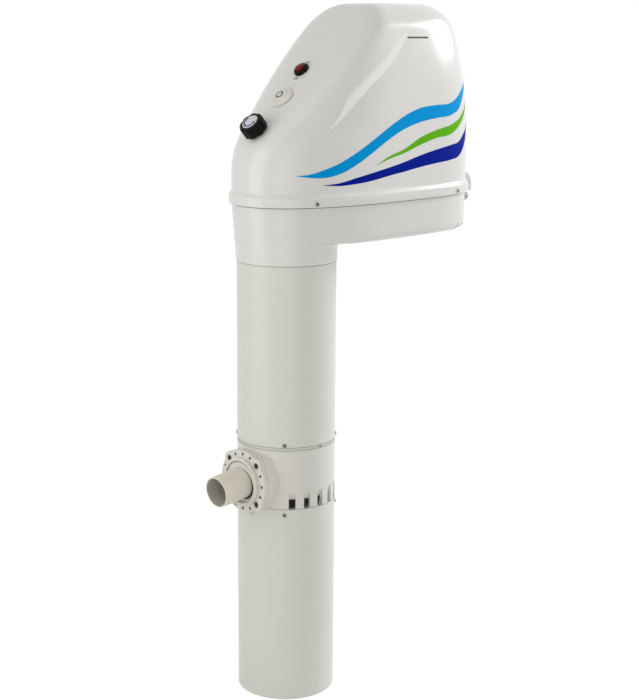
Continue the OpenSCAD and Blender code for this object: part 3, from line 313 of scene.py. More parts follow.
def even_turns(head, count):
    """Turns of the section at even steps along the rim, finer where the sides carry the scoop."""
    fine = np.linspace(-QUARTER, 1.5 * np.pi, 20001)
    path = hood_surface(head, fine, np.full_like(fine, head.base_height))
    along = path[1:, 1] + head.seat
    weight = np.where((along > SCOOP_REACH[0]) & (along < SCOOP_REACH[1]), FINER, 1.0)
    run = np.concatenate([[0], np.cumsum(weight * np.linalg.norm(np.diff(path, axis=0), axis=1))])
    return np.interp(np.arange(count) / count * run[-1], run, fine)


def smooth_line(x, knots, values):
    """Cubic Hermite line through the knots, with central differences as its slopes."""
    knots, values = np.asarray(knots, float), np.asarray(values, float)
    slopes = np.gradient(values, knots)
    i = np.clip(np.searchsorted(knots, x) - 1, 0, len(knots) - 2)
    span = knots[i + 1] - knots[i]
    t = np.clip((x - knots[i]) / span, 0, 1)
    return (
        values[i] * (1 + 2 * t) * (1 - t) ** 2
        + slopes[i] * span * t * (1 - t) ** 2
        + values[i + 1] * t * t * (3 - 2 * t)
        - slopes[i + 1] * span * t * t * (1 - t)
    )


def smooth_step(low, high, x):
    """0 below low, 1 above high, and a cubic ease between."""
    t = np.clip((x - low) / (high - low), 0, 1)
    return t * t * (3 - 2 * t)


def between(start, end, x):
    """0 outside two runs and 1 between them, easing up over the first and down over the second."""
    return smooth_step(*start, x) * (1 - smooth_step(*end, x))


def unit(vectors):
    """Vectors brought to a length of 1."""
    return vectors / np.maximum(np.linalg.norm(vectors, axis=-1, keepdims=True), 1e-12)


def grid_normals(points):
    """Unit normals of a grid that is closed along its columns, from central differences."""
    along = np.roll(points, -1, axis=1) - np.roll(points, 1, axis=1)
    return unit(np.cross(along, np.gradient(points, axis=0)))


# Mesh helpers

def ring_quads(rows, columns, wrap_rows=False):
    """Quads of a grid of rings, each ring closed, and the last ring joined to the first if asked."""
    r, c = np.meshgrid(np.arange(rows if wrap_rows else rows - 1), np.arange(columns), indexing="ij")
    right = (c + 1) % columns
    above = (r + 1) % rows
    quads = [r * columns + c, r * columns + right, above * columns + right, above * columns + c]
    return np.stack(quads, axis=-1).reshape(-1, 4)


def shell(rings, low_pole=None, high_pole=None, wrap_rows=False):
    """Points, quads and triangles of a grid of closed rings, with each end closed by a fan to its pole if
    one is given."""
    rows, columns = rings.shape[:2]
    points = rings.reshape(-1, 3)
    ring = np.arange(columns)
    following = np.roll(ring, -1)
    fans = np.empty((0, 3), int)
    if low_pole is not None:
        points = np.vstack([points, low_pole])
        fans = np.vstack([fans, np.stack([0 * ring + len(points) - 1, following, ring], axis=-1)])
    if high_pole is not None:
        points = np.vstack([points, high_pole])
        last = (rows - 1) * columns
        closing = np.stack([last + ring, last + following, 0 * ring + len(points) - 1], axis=-1)
        fans = np.vstack([fans, closing])
    return points, ring_quads(rows, columns, wrap_rows), fans


def capped(rings):
    """Shell of rings with each end closed by a fan to its middle."""
    return shell(rings, rings[0].mean(axis=0), rings[-1].mean(axis=0))


def build(*shells):
    """One mesh from several closed shells, each turned to face outwards by the sign of its volume."""
    faces, start = [], 0
    for points, quads, fans in shells:
        halves = np.vstack([quads[:, [0, 1, 2]], quads[:, [0, 2, 3]], fans])
        a, b, c = (points[halves[:, k]] - points[0] for k in range(3))
        order = 1 if np.sum(a * np.cross(b, c)) > 0 else -1
        faces += (quads[:, ::order] + start).tolist() + (fans[:, ::order] + start).tolist()
        start += len(points)
    mesh = bpy.data.meshes.new("piece")
    mesh.from_pydata(np.vstack([points for points, quads, fans in shells]).tolist(), [], faces)
    return mesh


def rows_of(items, name):
    """A vector property of a mesh's points or faces, as rows."""
    values = np.empty(len(items) * 3)
    items.foreach_get(name, values)
    return values.reshape(-1, 3)


def place_piece(name, mesh, material, body, nodes=(), sharp=35, trim=None, trimmed=None):
    """Puts a mesh into the scene as a smooth-shaded piece that rides on a body and stands for CAD nodes.
    The trim material goes on the faces that are marked as trimmed."""
    mesh.name = name
    mesh.shade_smooth()
    mesh.set_sharp_from_angle(angle=math.radians(sharp))
    mesh.materials.append(material)
    if trim:
        mesh.materials.append(trim)
        mesh.polygons.foreach_set("material_index", trimmed.astype(np.int32))
    piece = bpy.data.objects.new(name, mesh)
    bpy.context.scene.collection.objects.link(piece)
    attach(piece, body)
    if nodes:
        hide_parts(*nodes)
    return piece


def panel_matrix(head, place, lift=0.0, tilt=0.0):
    """Frame on the control panel: local Z out of the panel, local Y up its slope."""
    angle = head.panel_angle
    y, z = head.panel_y + place * math.cos(angle) - head.seat, head.panel_z + place * math.sin(angle)
    return (
        Matrix.Translation((0.0, y, z)) @ Matrix.Rotation(angle, 4, "X")
        @ Matrix.Translation((0, 0, lift)) @ Matrix.Rotation(tilt, 4, "X")
    )


def moved(points, matrix):
    """Points carried by a matrix."""
    m = np.array(matrix)
    return points @ m[:3, :3].T + m[:3, 3]


def full_turn(count):
    """Even turns of a whole circle."""
    return np.arange(count) / count * 2 * np.pi


def rays(turn):
    """Level unit vectors at turns round Z."""
    return np.stack([np.cos(turn), np.sin(turn), 0 * turn], axis=-1)


def revolved(profile, columns=96):
    """Rings of a profile of (radius, height) pairs turned round Z."""
    profile = np.asarray(profile, float)
    turn = full_turn(columns)
    radius, height = profile[:, :1], profile[:, 1:]
    return np.stack(np.broadcast_arrays(radius * np.cos(turn), radius * np.sin(turn), height), axis=-1)


def turned(profile, matrix, columns=96, poles=None):
    """Shell of a profile turned round a frame's Z. It closes on itself, or on poles at two heights."""
    rings = moved(revolved(profile, columns), matrix)
    if poles is None:
        return shell(rings, wrap_rows=True)
    return shell(rings, *moved(np.outer(poles, UP), matrix))


def strip(centre, across, out, lift, thick):
    """Thin closed band round a line: its section is a flat rectangle from lift to lift + thick along out."""
    outer = lift + thick
    corners = [centre + across + out * lift, centre - across + out * lift,
               centre - across + out * outer, centre + across + out * outer]
    return np.stack(corners, axis=1)


# Shader groups and finishes

BUMP_DISTANCE = 0.4 * MM
COAT_ROUGHNESS = 0.2


class Finish(NamedTuple):
    """Range of a finish's roughness, scale and amount of its colour's drift, scale and strength of its skin,
    and its shader values."""

    rough: tuple
    tone: tuple
    grain: float
    bump: float
    metallic: float = 0.0
    coat: float = 0.0
    specular: float = 0.5


FINISHES = {
    "hood": Finish((0.19, 0.23), (3.0, 0.03), 420.0, 0.02, coat=0.15),
    "base": Finish((0.24, 0.28), (3.0, 0.03), 420.0, 0.02, coat=0.1),
    "tube": Finish((0.3, 0.4), (4.0, 0.04), 500.0, 0.03),
    "satin": Finish((0.35, 0.5), (14.0, 0.06), 600.0, 0.06, specular=0.4),
    "rubber": Finish((0.6, 0.8), (30.0, 0.15), 900.0, 0.2, specular=0.25),
    "steel": Finish((0.3, 0.5), (60.0, 0.2), 1400.0, 0.08, metallic=1.0),
    "dull": Finish((0.5, 0.7), (60.0, 0.25), 1400.0, 0.08, metallic=0.3, specular=0.25),
    "screw": Finish((0.35, 0.5), (60.0, 0.2), 1400.0, 0.05, metallic=0.6),
    "vinyl": Finish((0.4, 0.5), (10.0, 0.05), 900.0, 0.02, specular=0.03),
    "black": Finish((0.15, 0.28), (40.0, 0.2), 1200.0, 0.03, specular=0.07),
    "disc": Finish((0.3, 0.42), (60.0, 0.06), 900.0, 0.03),
    "button": Finish((0.25, 0.35), (20.0, 0.04), 700.0, 0.02),
    "lens": Finish((0.15, 0.25), (90.0, 0.25), 1500.0, 0.04, specular=0.08),
    "symbol": Finish((0.4, 0.5), (80.0, 0.1), 900.0, 0.02, specular=0.2),
    "recess": Finish((0.6, 0.8), (40.0, 0.2), 900.0, 0.1, specular=0.1),
    "seam": Finish((0.5, 0.7), (20.0, 0.2), 900.0, 0.05, specular=0.2),
}

# Names of the finishes whose colour property has the same name as their kind
OWN_FINISHES = {
    "hood": "Hood white", "base": "Base white", "screw": "Screw steel", "black": "Knob black",
    "lens": "Rocker red", "symbol": "Printed violet", "recess": "Recess shade", "seam": "Seam grey",
}


def add_node(tree, kind, inputs, **settings):
    """A shader node with its settings, and with its inputs linked to sockets or set to values."""
    node = tree.nodes.new(kind)
    for name, value in settings.items():
        setattr(node, name, value)
    for key, value in inputs.items():
        feed(tree, node.inputs[key], value)
    return node


def feed(tree, socket, value):
    """Links an input to another node's output, or sets it to a value."""
    if isinstance(value, bpy.types.NodeSocket):
        tree.links.new(value, socket)
    else:
        socket.default_value = value


def noise(tree, vector, scale, detail, roughness=0.55):
    """Value of a noise texture at a vector."""
    inputs = {"Vector": vector, "Scale": scale, "Detail": detail, "Roughness": roughness}
    return add_node(tree, "ShaderNodeTexNoise", inputs).outputs["Fac"]


def maths(tree, operation, *values):
    """Result of a maths node on sockets or numbers."""
    return add_node(tree, "ShaderNodeMath", dict(enumerate(values)), operation=operation).outputs[0]


def scaled(tree, vector, gain):
    """A vector or a colour times a number."""
    inputs = {0: vector, "Scale": gain}
    return add_node(tree, "ShaderNodeVectorMath", inputs, operation="SCALE").outputs["Vector"]


def distance(tree, vector):
    """Length of a vector."""
    return add_node(tree, "ShaderNodeVectorMath", {0: vector}, operation="LENGTH").outputs["Value"]


def ramp(tree, value, source, target):
    """A value carried from one range to another in a straight line, and held at both ends."""
    ends = {"From Min": source[0], "From Max": source[1], "To Min": target[0], "To Max": target[1]}
    return add_node(tree, "ShaderNodeMapRange", {"Value": value, **ends}).outputs["Result"]


def object_place(tree):
    """Place of the shaded point in its object's frame."""
    return add_node(tree, "ShaderNodeTexCoord", {}).outputs["Object"]


def node_group(name, inputs, outputs):
    """A shader node group with sockets of these names and kinds, its inner inputs and its inner outputs."""
    group = bpy.data.node_groups.new(name, "ShaderNodeTree")
    for way, sockets in (("INPUT", inputs), ("OUTPUT", outputs)):
        for label, kind in sockets.items():
            group.interface.new_socket(label, in_out=way, socket_type=f"NodeSocket{kind}")
    return group, group.nodes.new("NodeGroupInput").outputs, group.nodes.new("NodeGroupOutput").inputs


def tone_group():
    """Slow drift of a colour: two noises, one broad and one fine, make it lighter or darker by an amount."""
    name = "Moulded tone"
    if name in bpy.data.node_groups:
        return bpy.data.node_groups[name]
    inputs = {"Vector": "Vector", "Color": "Color", "Scale": "Float", "Amount": "Float"}
    group, start, end = node_group(name, inputs, {"Color": "Color"})
    broad_share, fine_share, finer = 1.4, 0.6, 9.0
    broad = noise(group, start["Vector"], start["Scale"], 3.0)
    fine = noise(group, start["Vector"], maths(group, "MULTIPLY", start["Scale"], finer), 2.0)
    broad = maths(group, "MULTIPLY", broad, broad_share)
    fine = maths(group, "MULTIPLY", fine, fine_share)
    drift = maths(group, "SUBTRACT", maths(group, "ADD", broad, fine), 1.0)
    gain = maths(group, "ADD", 1.0, maths(group, "MULTIPLY", drift, start["Amount"]))
    group.links.new(scaled(group, start["Color"], gain), end["Color"])
    return group


def skin_group():
    """Fine skin of a surface: a height for the bump, and a roughness that wanders between two values."""
    name = "Surface skin"
    if name in bpy.data.node_groups:
        return bpy.data.node_groups[name]
    inputs = {"Vector": "Vector", "Scale": "Float", "Smoothest": "Float", "Roughest": "Float"}
    group, start, end = node_group(name, inputs, {"Height": "Float", "Roughness": "Float"})
    wave_scale, wave_share, smudge_scale = 14.0, 2.0, 30.0
    grain = noise(group, start["Vector"], start["Scale"], 4.0)
    waves = noise(group, start["Vector"], wave_scale, 2.0)
    smudge = noise(group, start["Vector"], smudge_scale, 5.0, 0.65)
    height = maths(group, "ADD", grain, maths(group, "MULTIPLY", waves, wave_share))
    spread = maths(group, "SUBTRACT", start["Roughest"], start["Smoothest"])
    rough = maths(group, "ADD", start["Smoothest"], maths(group, "MULTIPLY", smudge, spread))
    group.links.new(height, end["Height"])
    group.links.new(rough, end["Roughness"])
    return group


def finish_material(name, tint, kind):
    """The finish of this name, made once: drifting colour, wandering gloss and a fine skin of its kind."""
    if name in bpy.data.materials:
        return bpy.data.materials[name]
    finish = FINISHES[kind]
    material = bpy.data.materials.new(name)
    material.use_nodes = True
    tree = material.node_tree
    where = object_place(tree)
    inputs = {"Vector": where, "Color": (*tint, 1), "Scale": finish.tone[0], "Amount": finish.tone[1]}
    drift = add_node(tree, "ShaderNodeGroup", inputs, node_tree=tone_group())
    smoothest, roughest = finish.rough
    inputs = {"Vector": where, "Scale": finish.grain, "Smoothest": smoothest, "Roughest": roughest}
    skin = add_node(tree, "ShaderNodeGroup", inputs, node_tree=skin_group())
    inputs = {"Strength": finish.bump, "Distance": BUMP_DISTANCE, "Height": skin.outputs["Height"]}
    relief = add_node(tree, "ShaderNodeBump", inputs)
    shader = tree.nodes["Principled BSDF"]
    tree.links.new(drift.outputs["Color"], shader.inputs["Base Color"])
    tree.links.new(skin.outputs["Roughness"], shader.inputs["Roughness"])
    tree.links.new(relief.outputs["Normal"], shader.inputs["Normal"])
    shader.inputs["Metallic"].default_value = finish.metallic
    shader.inputs["Coat Weight"].default_value = finish.coat
    shader.inputs["Coat Roughness"].default_value = COAT_ROUGHNESS
    shader.inputs["Specular IOR Level"].default_value = finish.specular
    return material


def own_finish(kind):
    """A finish in the colour property of the same name."""
    return finish_material(OWN_FINISHES[kind], getattr(colours(), kind), kind)


def scale_colour(material, gain):
    """Multiplies a finish's colour by a socket's value."""
    tree = material.node_tree
    colour_in = tree.nodes["Principled BSDF"].inputs["Base Color"]
    tree.links.new(scaled(tree, colour_in.links[0].from_socket, gain), colour_in)


# Operators

class SwimJetOperator:
    """What all the operators share."""

    bl_options = {"REGISTER", "UNDO"}


# Scoop: lengths along the hood, with the crease's height and with the share of the facet's full width
CREASE_LINE = ([0.0, 0.0457, 0.0968, 0.1563, 0.2065, 0.228], [0.213, 0.250, 0.295, 0.3374, 0.381, 0.405])
FACET_LINE = ([0.0, 0.031, 0.055, 0.09, 0.15, 0.2, 0.235], [0.05, 0.4, 1, 0.9, 0.82, 0.7, 0.1])
# Cosine of the crease line's slope
CREASE_COSINE = 0.745


class SWIMJET_OT_hood(SwimJetOperator, bpy.types.Operator):
    """Smooth shell of the motor hood, with its lip, scooped facets and side slits"""

    bl_idname = "swimjet.hood"
    bl_label = "Hood"

    def execute(self, context):
        head = head_sizes()
        turn = even_turns(head, HOOD_COLUMNS)[None, :]
        low, top = head.base_height, head.base_height + head.hood_height
        shoulder = top - head.crown
        lip_end, scoop_start = low + 33 * MM, low + 120 * MM
        lip = head.lip_step / MM
        lip_rows = MM * np.array([
            [0, 0.6], [0, lip - 0.9], [0.3, lip - 0.3], [1.0, lip], [9, lip], [16.5, lip],
            [18.4, lip - 0.35], [19.8, lip - 1.1], [21.0, lip - 2.2], [22.2, lip - 3.3], [23.8, lip - 4.4],
            [26, 0.4], [29, 0.1],
        ])
        slit = head.slit_height / 2
        slit_edge = np.array([slit - 0.5 * MM, slit, slit + 0.6 * MM])
        wall = np.unique(np.concatenate([
            np.linspace(lip_end, scoop_start, 20), np.linspace(scoop_start, shoulder, 112),
            head.slit_z - slit_edge, head.slit_z + slit_edge,
        ]))
        crown = shoulder + head.crown * np.sin(np.linspace(0, QUARTER, 24)[1:])
        outer_z = np.concatenate([low + lip_rows[:, 0], wall, crown])[:, None]
        step = np.concatenate([lip_rows[:, 1], np.zeros(len(wall) + len(crown))])[:, None]
        outer = hood_surface(head, turn, outer_z, 0.0, step)
        outer += grid_normals(outer) * self.relief(head, outer)[..., None]
        inner_z = np.concatenate([
            shoulder + (head.crown - head.wall) * np.sin(np.linspace(QUARTER, 0, 8)),
            np.linspace(shoulder, low + 20 * MM, 14)[1:],
            [low],
        ])[:, None]
        inner = hood_surface(head, turn, inner_z, head.wall, 0.0)
        lid = outer[-1].mean(axis=0)
        closing = [lid + (outer[-1] - lid) * share for share in np.linspace(1, 0, 9)[1:-1]]
        mesh = build(shell(np.concatenate([inner, outer, closing]), inner[0].mean(axis=0), lid))
        # Painted highlight on the scoop's facet, carried by a point attribute into the hood's colour
        self.mark_facet_highlight(head, mesh)
        white = own_finish("hood")
        self.paint_facet_highlight(head, white)
        # Painted shade: the slit's faces take the dark seam colour in place of the shade inside the slit
        x, y, z = rows_of(mesh.polygons, "center").T
        on_sides = np.abs(x) > 0.1
        slit_shade_faces = self.in_slit(head, y + head.seat, z) & on_sides
        place_piece(
            "hood_shell", mesh, white, "body", ["hood"],
            trim=own_finish("seam"), trimmed=slit_shade_faces,
        )
        return {"FINISHED"}

    def in_slit(self, head, y, z, inset=0.0):
        """Whether places along and up the hood lie in the slit, with its long edges drawn in by an inset."""
        along, up = np.abs(y - head.slit_y), np.abs(z - head.slit_z)
        return (along < head.slit_length / 2) & (up < head.slit_height / 2 - inset)

    def scoop(self, head, points):
        """Length along the hood, height, distance above the crease line and width of the facet at points."""
        y, z = points[..., 1] + head.seat, points[..., 2]
        away = (z - smooth_line(y, *CREASE_LINE)) * CREASE_COSINE
        return y, z, away, head.facet * smooth_line(y, *FACET_LINE)

    def mark_facet_highlight(self, head, mesh):
        """Stores the mask of the painted highlight on the scoop's facet: a point attribute that is 1 on the
        facet, sharp at the crease and soft above.
        """
        soft, fade = 0.8 * MM, (0.6, 1.0)
        start, end = (-0.005, 0.03), (0.205, 0.235)
        dim_run, dimmed = (0.1, 0.19), 0.35
        y, _, away, span = self.scoop(head, rows_of(mesh.vertices, "co"))
        across = smooth_step(-soft, soft, away) * (1 - smooth_step(*fade, away / span))
        share = across * between(start, end, y) * (1 - dimmed * smooth_step(*dim_run, y))
        mesh.attributes.new("facet", "FLOAT", "POINT").data.foreach_set("value", share)

    def paint_facet_highlight(self, head, material):
        """Paints a highlight: lightens the hood's white where the facet attribute says so."""
        tree = material.node_tree
        mark = add_node(tree, "ShaderNodeAttribute", {}, attribute_name="facet").outputs["Fac"]
        scale_colour(material, maths(tree, "MULTIPLY_ADD", mark, head.facet_highlight_gain, 1.0))

    def relief(self, head, points):
        """Height over the plain surface: a scoop along a crease line, and the slit. The scoop is deepest at
        the crease. Above it a facet rises on a near-straight slope, and below it the side comes back in a
        parabola."""
        start, end = (-0.035, 0.06), (0.19, 0.238)
        shallow_run, shallower = (0.08, 0.18), 0.7
        slope_power, slit_inset, slit_depth = 1.15, 0.2 * MM, 3.2 * MM
        y, z, away, span = self.scoop(head, points)
        facet = np.clip(1 - away / span, 0, 1) ** slope_power
        below = np.clip(1 + away / head.scoop_return, 0, 1) ** 2
        depth = head.crease * between(start, end, y) * (1 - shallower * smooth_step(*shallow_run, y))
        slit = np.where(self.in_slit(head, y, z, slit_inset), slit_depth, 0)
        return -depth * np.where(away > 0, facet, below) - slit


# Lengths along the base over which its tapered front gives way to its overhanging rear
BASE_BLEND = (-0.025, 0.065)
# How much of the front's taper follows the rear's fall, the rest follows the count of rings
FALL_SHARE = 0.75


class SWIMJET_OT_base(SwimJetOperator, bpy.types.Operator):
    """Smooth shell of the head's base, running down into the collar round the column"""

    bl_idname = "swimjet.base"
    bl_label = "Base"

    def execute(self, context):
        head = head_sizes()
        turn = even_turns(head, BASE_COLUMNS)
        axis = np.array([0.0, -head.seat])
        outline = rim_outline(head, turn, -BASE_INSET)
        share = smooth_step(*BASE_BLEND, outline[:, 1] + head.seat)[None, :, None]
        heading = unit(outline - axis)
        collar = axis + heading * head.collar
        rear = self.rear_rings(head, turn, collar, heading)
        fall = (head.base_height - rear[..., 2:]) / (head.base_height + head.collar_drop)
        down = FALL_SHARE * fall + (1 - FALL_SHARE) * np.linspace(0, 1, len(rear))[:, None, None]
        front = level(outline, head.base_height) * (1 - down) + level(collar, -head.collar_drop) * down
        outer = front * (1 - share) + rear * share
        drop, floor_z, tongue_z = -head.collar_drop, 5 * MM, head.base_height + 18 * MM
        spigot_z, wall = drop - 40 * MM, 5.3 * MM
        neck, bore = axis + heading * 94.8 * MM, axis + heading * 88.8 * MM
        floor = level(rim_outline(head, turn, -wall - head.base_round), floor_z)
        rim_in = rim_outline(head, turn, -wall)
        inner = np.stack([
            level(collar - heading * 0.5 * MM, drop), level(neck, drop), level(neck, spigot_z),
            level(bore, spigot_z), level(bore, floor_z),
            floor * share[0] + level(bore + heading * 3 * MM, floor_z) * (1 - share[0]),
            level(rim_in, head.base_height - 30 * MM), level(rim_in, tongue_z), level(outline, tongue_z),
        ])
        mesh = build(shell(np.concatenate([outer, inner]), wrap_rows=True))
        place_piece("base_shell", mesh, own_finish("base"), "body", ["head_base"], sharp=62)
        return {"FINISHED"}

    def rear_rings(self, head, turn, collar, heading):
        """Rings of the overhanging part, from the rim down: an upright wall, a quarter round, the flat
        underside, a fillet and the collar."""
        wall_z = np.linspace(head.base_height, head.base_round, 9)
        edge = rim_outline(head, turn, -BASE_INSET - head.base_round)
        gap = np.linalg.norm(edge - collar, axis=1)
        fillet = np.minimum(head.fillet, 0.8 * gap)[:, None]
        foot = collar + heading * fillet
        rings = [level(rim_outline(head, turn, -BASE_INSET), z) for z in wall_z]
        rings += [
            level(rim_outline(head, turn, -BASE_INSET - head.base_round * (1 - np.cos(a))),
                  head.base_round * (1 - np.sin(a)))
            for a in np.linspace(0, QUARTER, 11)[1:]
        ]
        rings += [level(edge + (foot - edge) * s, 0.0) for s in np.linspace(0, 1, 9)[1:]]
        rings += [
            np.c_[collar + heading * fillet * (1 - np.sin(a)), -fillet * (1 - np.cos(a))]
            for a in np.linspace(0, QUARTER, 10)[1:]
        ]
        rings += [
            np.c_[collar, -fillet[:, 0] * (1 - s) - head.collar_drop * s] for s in np.linspace(0, 1, 6)[1:]
        ]
        return np.stack(rings)


# Grooves in each rear corner of the base, drawn as dark lines of painted shade: turn of the rim and angles
# down the rounding, in degrees
GROOVES = ((36, (12, 35, 58, 82)), (47, (16, 32, 48, 64)))
# Heights of the seams round the column below the collar, where thin grey rings stand in for their shade
SEAM_LEVELS = (-0.4000, -0.4060, -0.5280)


class SWIMJET_OT_seams(SwimJetOperator, bpy.types.Operator):
    """Dark pieces of painted shadow in the gaps under the lip, round the column and the nozzle, and in the
    base's rear corners
    """

    bl_idname = "swimjet.seams"
    bl_label = "Seams"

    def execute(self, context):
        head = head_sizes()
        turn = even_turns(head, BASE_COLUMNS)
        # Painted shadow: a dark band on the base just under the lip stands in for the shade of the gap
        # between them
        line = level(rim_outline(head, turn, -BASE_INSET), head.base_height - 0.9 * MM)
        out = unit(np.cross(np.roll(line, -1, axis=0) - np.roll(line, 1, axis=0), UP))
        lip_gap = shell(strip(line, 0.75 * MM * UP, out, -0.4 * MM, 0.55 * MM), wrap_rows=True)
        groove_shadows = [
            self.groove(head, np.radians([(place, angle) for angle in angles]), side)
            for place, angles in GROOVES for side in (1, -1)
        ]
        gaps = build(lip_gap, *groove_shadows)
        place_piece("lip_gap", gaps, own_finish("recess"), "body", sharp=60)
        # Painted shade: grey rings in the seams round the column
        collar_seam = -head.collar_drop - 0.9 * MM
        rings = build(*[self.ring(head, z) for z in (collar_seam, *SEAM_LEVELS)])
        place_piece("column_seams", rings, own_finish("seam"), "body", sharp=60)
        gap = build(self.nozzle_gap())
        place_piece("nozzle_gap", gap, own_finish("recess"), "nozzle", sharp=60)
        return {"FINISHED"}

    def nozzle_gap(self):
        """Painted shadow: a dark flat ring on the ball's face round the nozzle pipe, widest at the lower
        right, in place of the shade round the pipe's root.
        """
        turn = full_turn(96)
        pipe, face = 31.5 * MM, 14 * MM
        least, gain, widest_turn, power = 0.2, 2.0, -np.pi / 4, 1.5
        half_width = (least + gain * (0.5 + 0.5 * np.cos(turn - widest_turn)) ** power) * MM
        across = rays(turn) * half_width[:, None]
        ring = strip(rays(turn) * pipe + across, across, UP, face - 0.1 * MM, 0.25 * MM)
        place = Matrix.Translation(BALL_CENTRE) @ Matrix.Rotation(BALL_TURN, 4, "X")
        return shell(moved(ring, place), wrap_rows=True)

    def ring(self, head, z):
        """Thin grey ring of painted shade in a seam round the column: a flat rectangle turned round the
        column's axis.
        """
        inner, outer, half = head.column - 0.5 * MM, head.column + 0.15 * MM, 0.45 * MM
        profile = [[inner, z - half], [outer, z - half], [outer, z + half], [inner, z + half]]
        return turned(profile, Matrix.Translation((0, -head.seat, 0)), 128)

    def groove(self, head, keys, side):
        """Painted shade of a groove: a thin dark line down the rounding of the base's lower edge, through
        keys of turn and angle.
        """
        step, knots = np.linspace(0, len(keys) - 1, 24), np.arange(len(keys))
        turn, angle = (smooth_line(step, knots, column) for column in keys.T)
        flat = rim_outline(head, turn, -BASE_INSET - head.base_round * (1 - np.cos(angle)))
        line = level(flat, head.base_round * (1 - np.sin(angle)))
        inside = np.array([0.0, -0.03])
        heading = unit(flat - inside)
        out = np.c_[heading * np.cos(angle)[:, None], -np.sin(angle)]
        across = 0.8 * MM * unit(np.cross(np.gradient(line, axis=0), out))
        return capped(strip(line, across, out, -0.3 * MM, 0.5 * MM) * np.array([side, 1, 1]))


# Height of a screw head's edge below its dome
SCREW_EDGE = 0.5 * MM


class SWIMJET_OT_screws(SwimJetOperator, bpy.types.Operator):
    """Domed cross-head screws on the lip and round the column"""

    bl_idname = "swimjet.screws"
    bl_label = "Screws"

    def execute(self, context):
        head, sizes = head_sizes(), screw_sizes()
        turn = np.radians([-40.8, 28.0])
        nudge = 0.001
        places, ahead, behind = (
            rim_outline(head, turn + shift, head.lip_step) for shift in (0, nudge, -nudge)
        )
        lip = [
            (x * side, y, sizes.lip_level, math.atan2(-ax, ay * side))
            for (x, y), (ax, ay) in zip(places, ahead - behind) for side in (1, -1)
        ]
        column = [
            (head.column * math.cos(a), head.column * math.sin(a) - head.seat, z, a)
            for a in np.radians([45, 135, 225, 315]) for z in (sizes.upper_level, sizes.lower_level)
        ]
        self.group("rim_screw_heads", lip, "rim_screws")
        self.group("column_screw_heads", column, "column_screws")
        return {"FINISHED"}

    def in_cross(self, points):
        """Whether points of a screw's dome lie in its cross recess."""
        sizes, flat = screw_sizes(), np.abs(points[..., :2])
        on_arms = (flat.min(axis=-1) < sizes.arm) & (flat.max(axis=-1) < sizes.reach)
        return on_arms & (points[..., 2] > SCREW_EDGE)

    def group(self, name, places, node):
        """Screw heads at places of x, y, z and heading, each a dome with a cross sunk in it and painted dark
        as its shade.
        """
        sizes = screw_sizes()
        sink, root, cross_turn = 0.8 * MM, -4.0 * MM, 0.5
        arc = np.linspace(0, QUARTER, 20)[:-1]
        dome = np.c_[sizes.radius * np.cos(arc), SCREW_EDGE + (sizes.height - SCREW_EDGE) * np.sin(arc)]
        stub = [[1.2 * MM, root], [2.3 * MM, root], [2.4 * MM, 0.2 * MM], [4.6 * MM, 0.2 * MM]]
        rings = revolved(np.vstack([stub, dome]), 64)
        rings[..., 2] -= np.where(self.in_cross(rings), sink, 0)
        low, crest = root * UP, (sizes.height - sink) * UP
        shells = []
        for x, y, z, heading in places:
            matrix = (
                Matrix.Translation((x, y, z)) @ Matrix.Rotation(heading, 4, "Z")
                @ Matrix.Rotation(QUARTER, 4, "Y") @ Matrix.Rotation(cross_turn, 4, "Z")
            )
            shells.append(shell(moved(rings, matrix), moved(low, matrix), moved(crest, matrix)))
        sample = build(shell(rings, low, crest))
        cross = self.in_cross(rows_of(sample.polygons, "center"))
        bpy.data.meshes.remove(sample)
        # Painted shade: the faces of each cross recess take the dark recess colour
        place_piece(
            name, build(*shells), own_finish("screw"), "body", [node],
            trim=own_finish("recess"), trimmed=np.tile(cross, len(places)),
        )


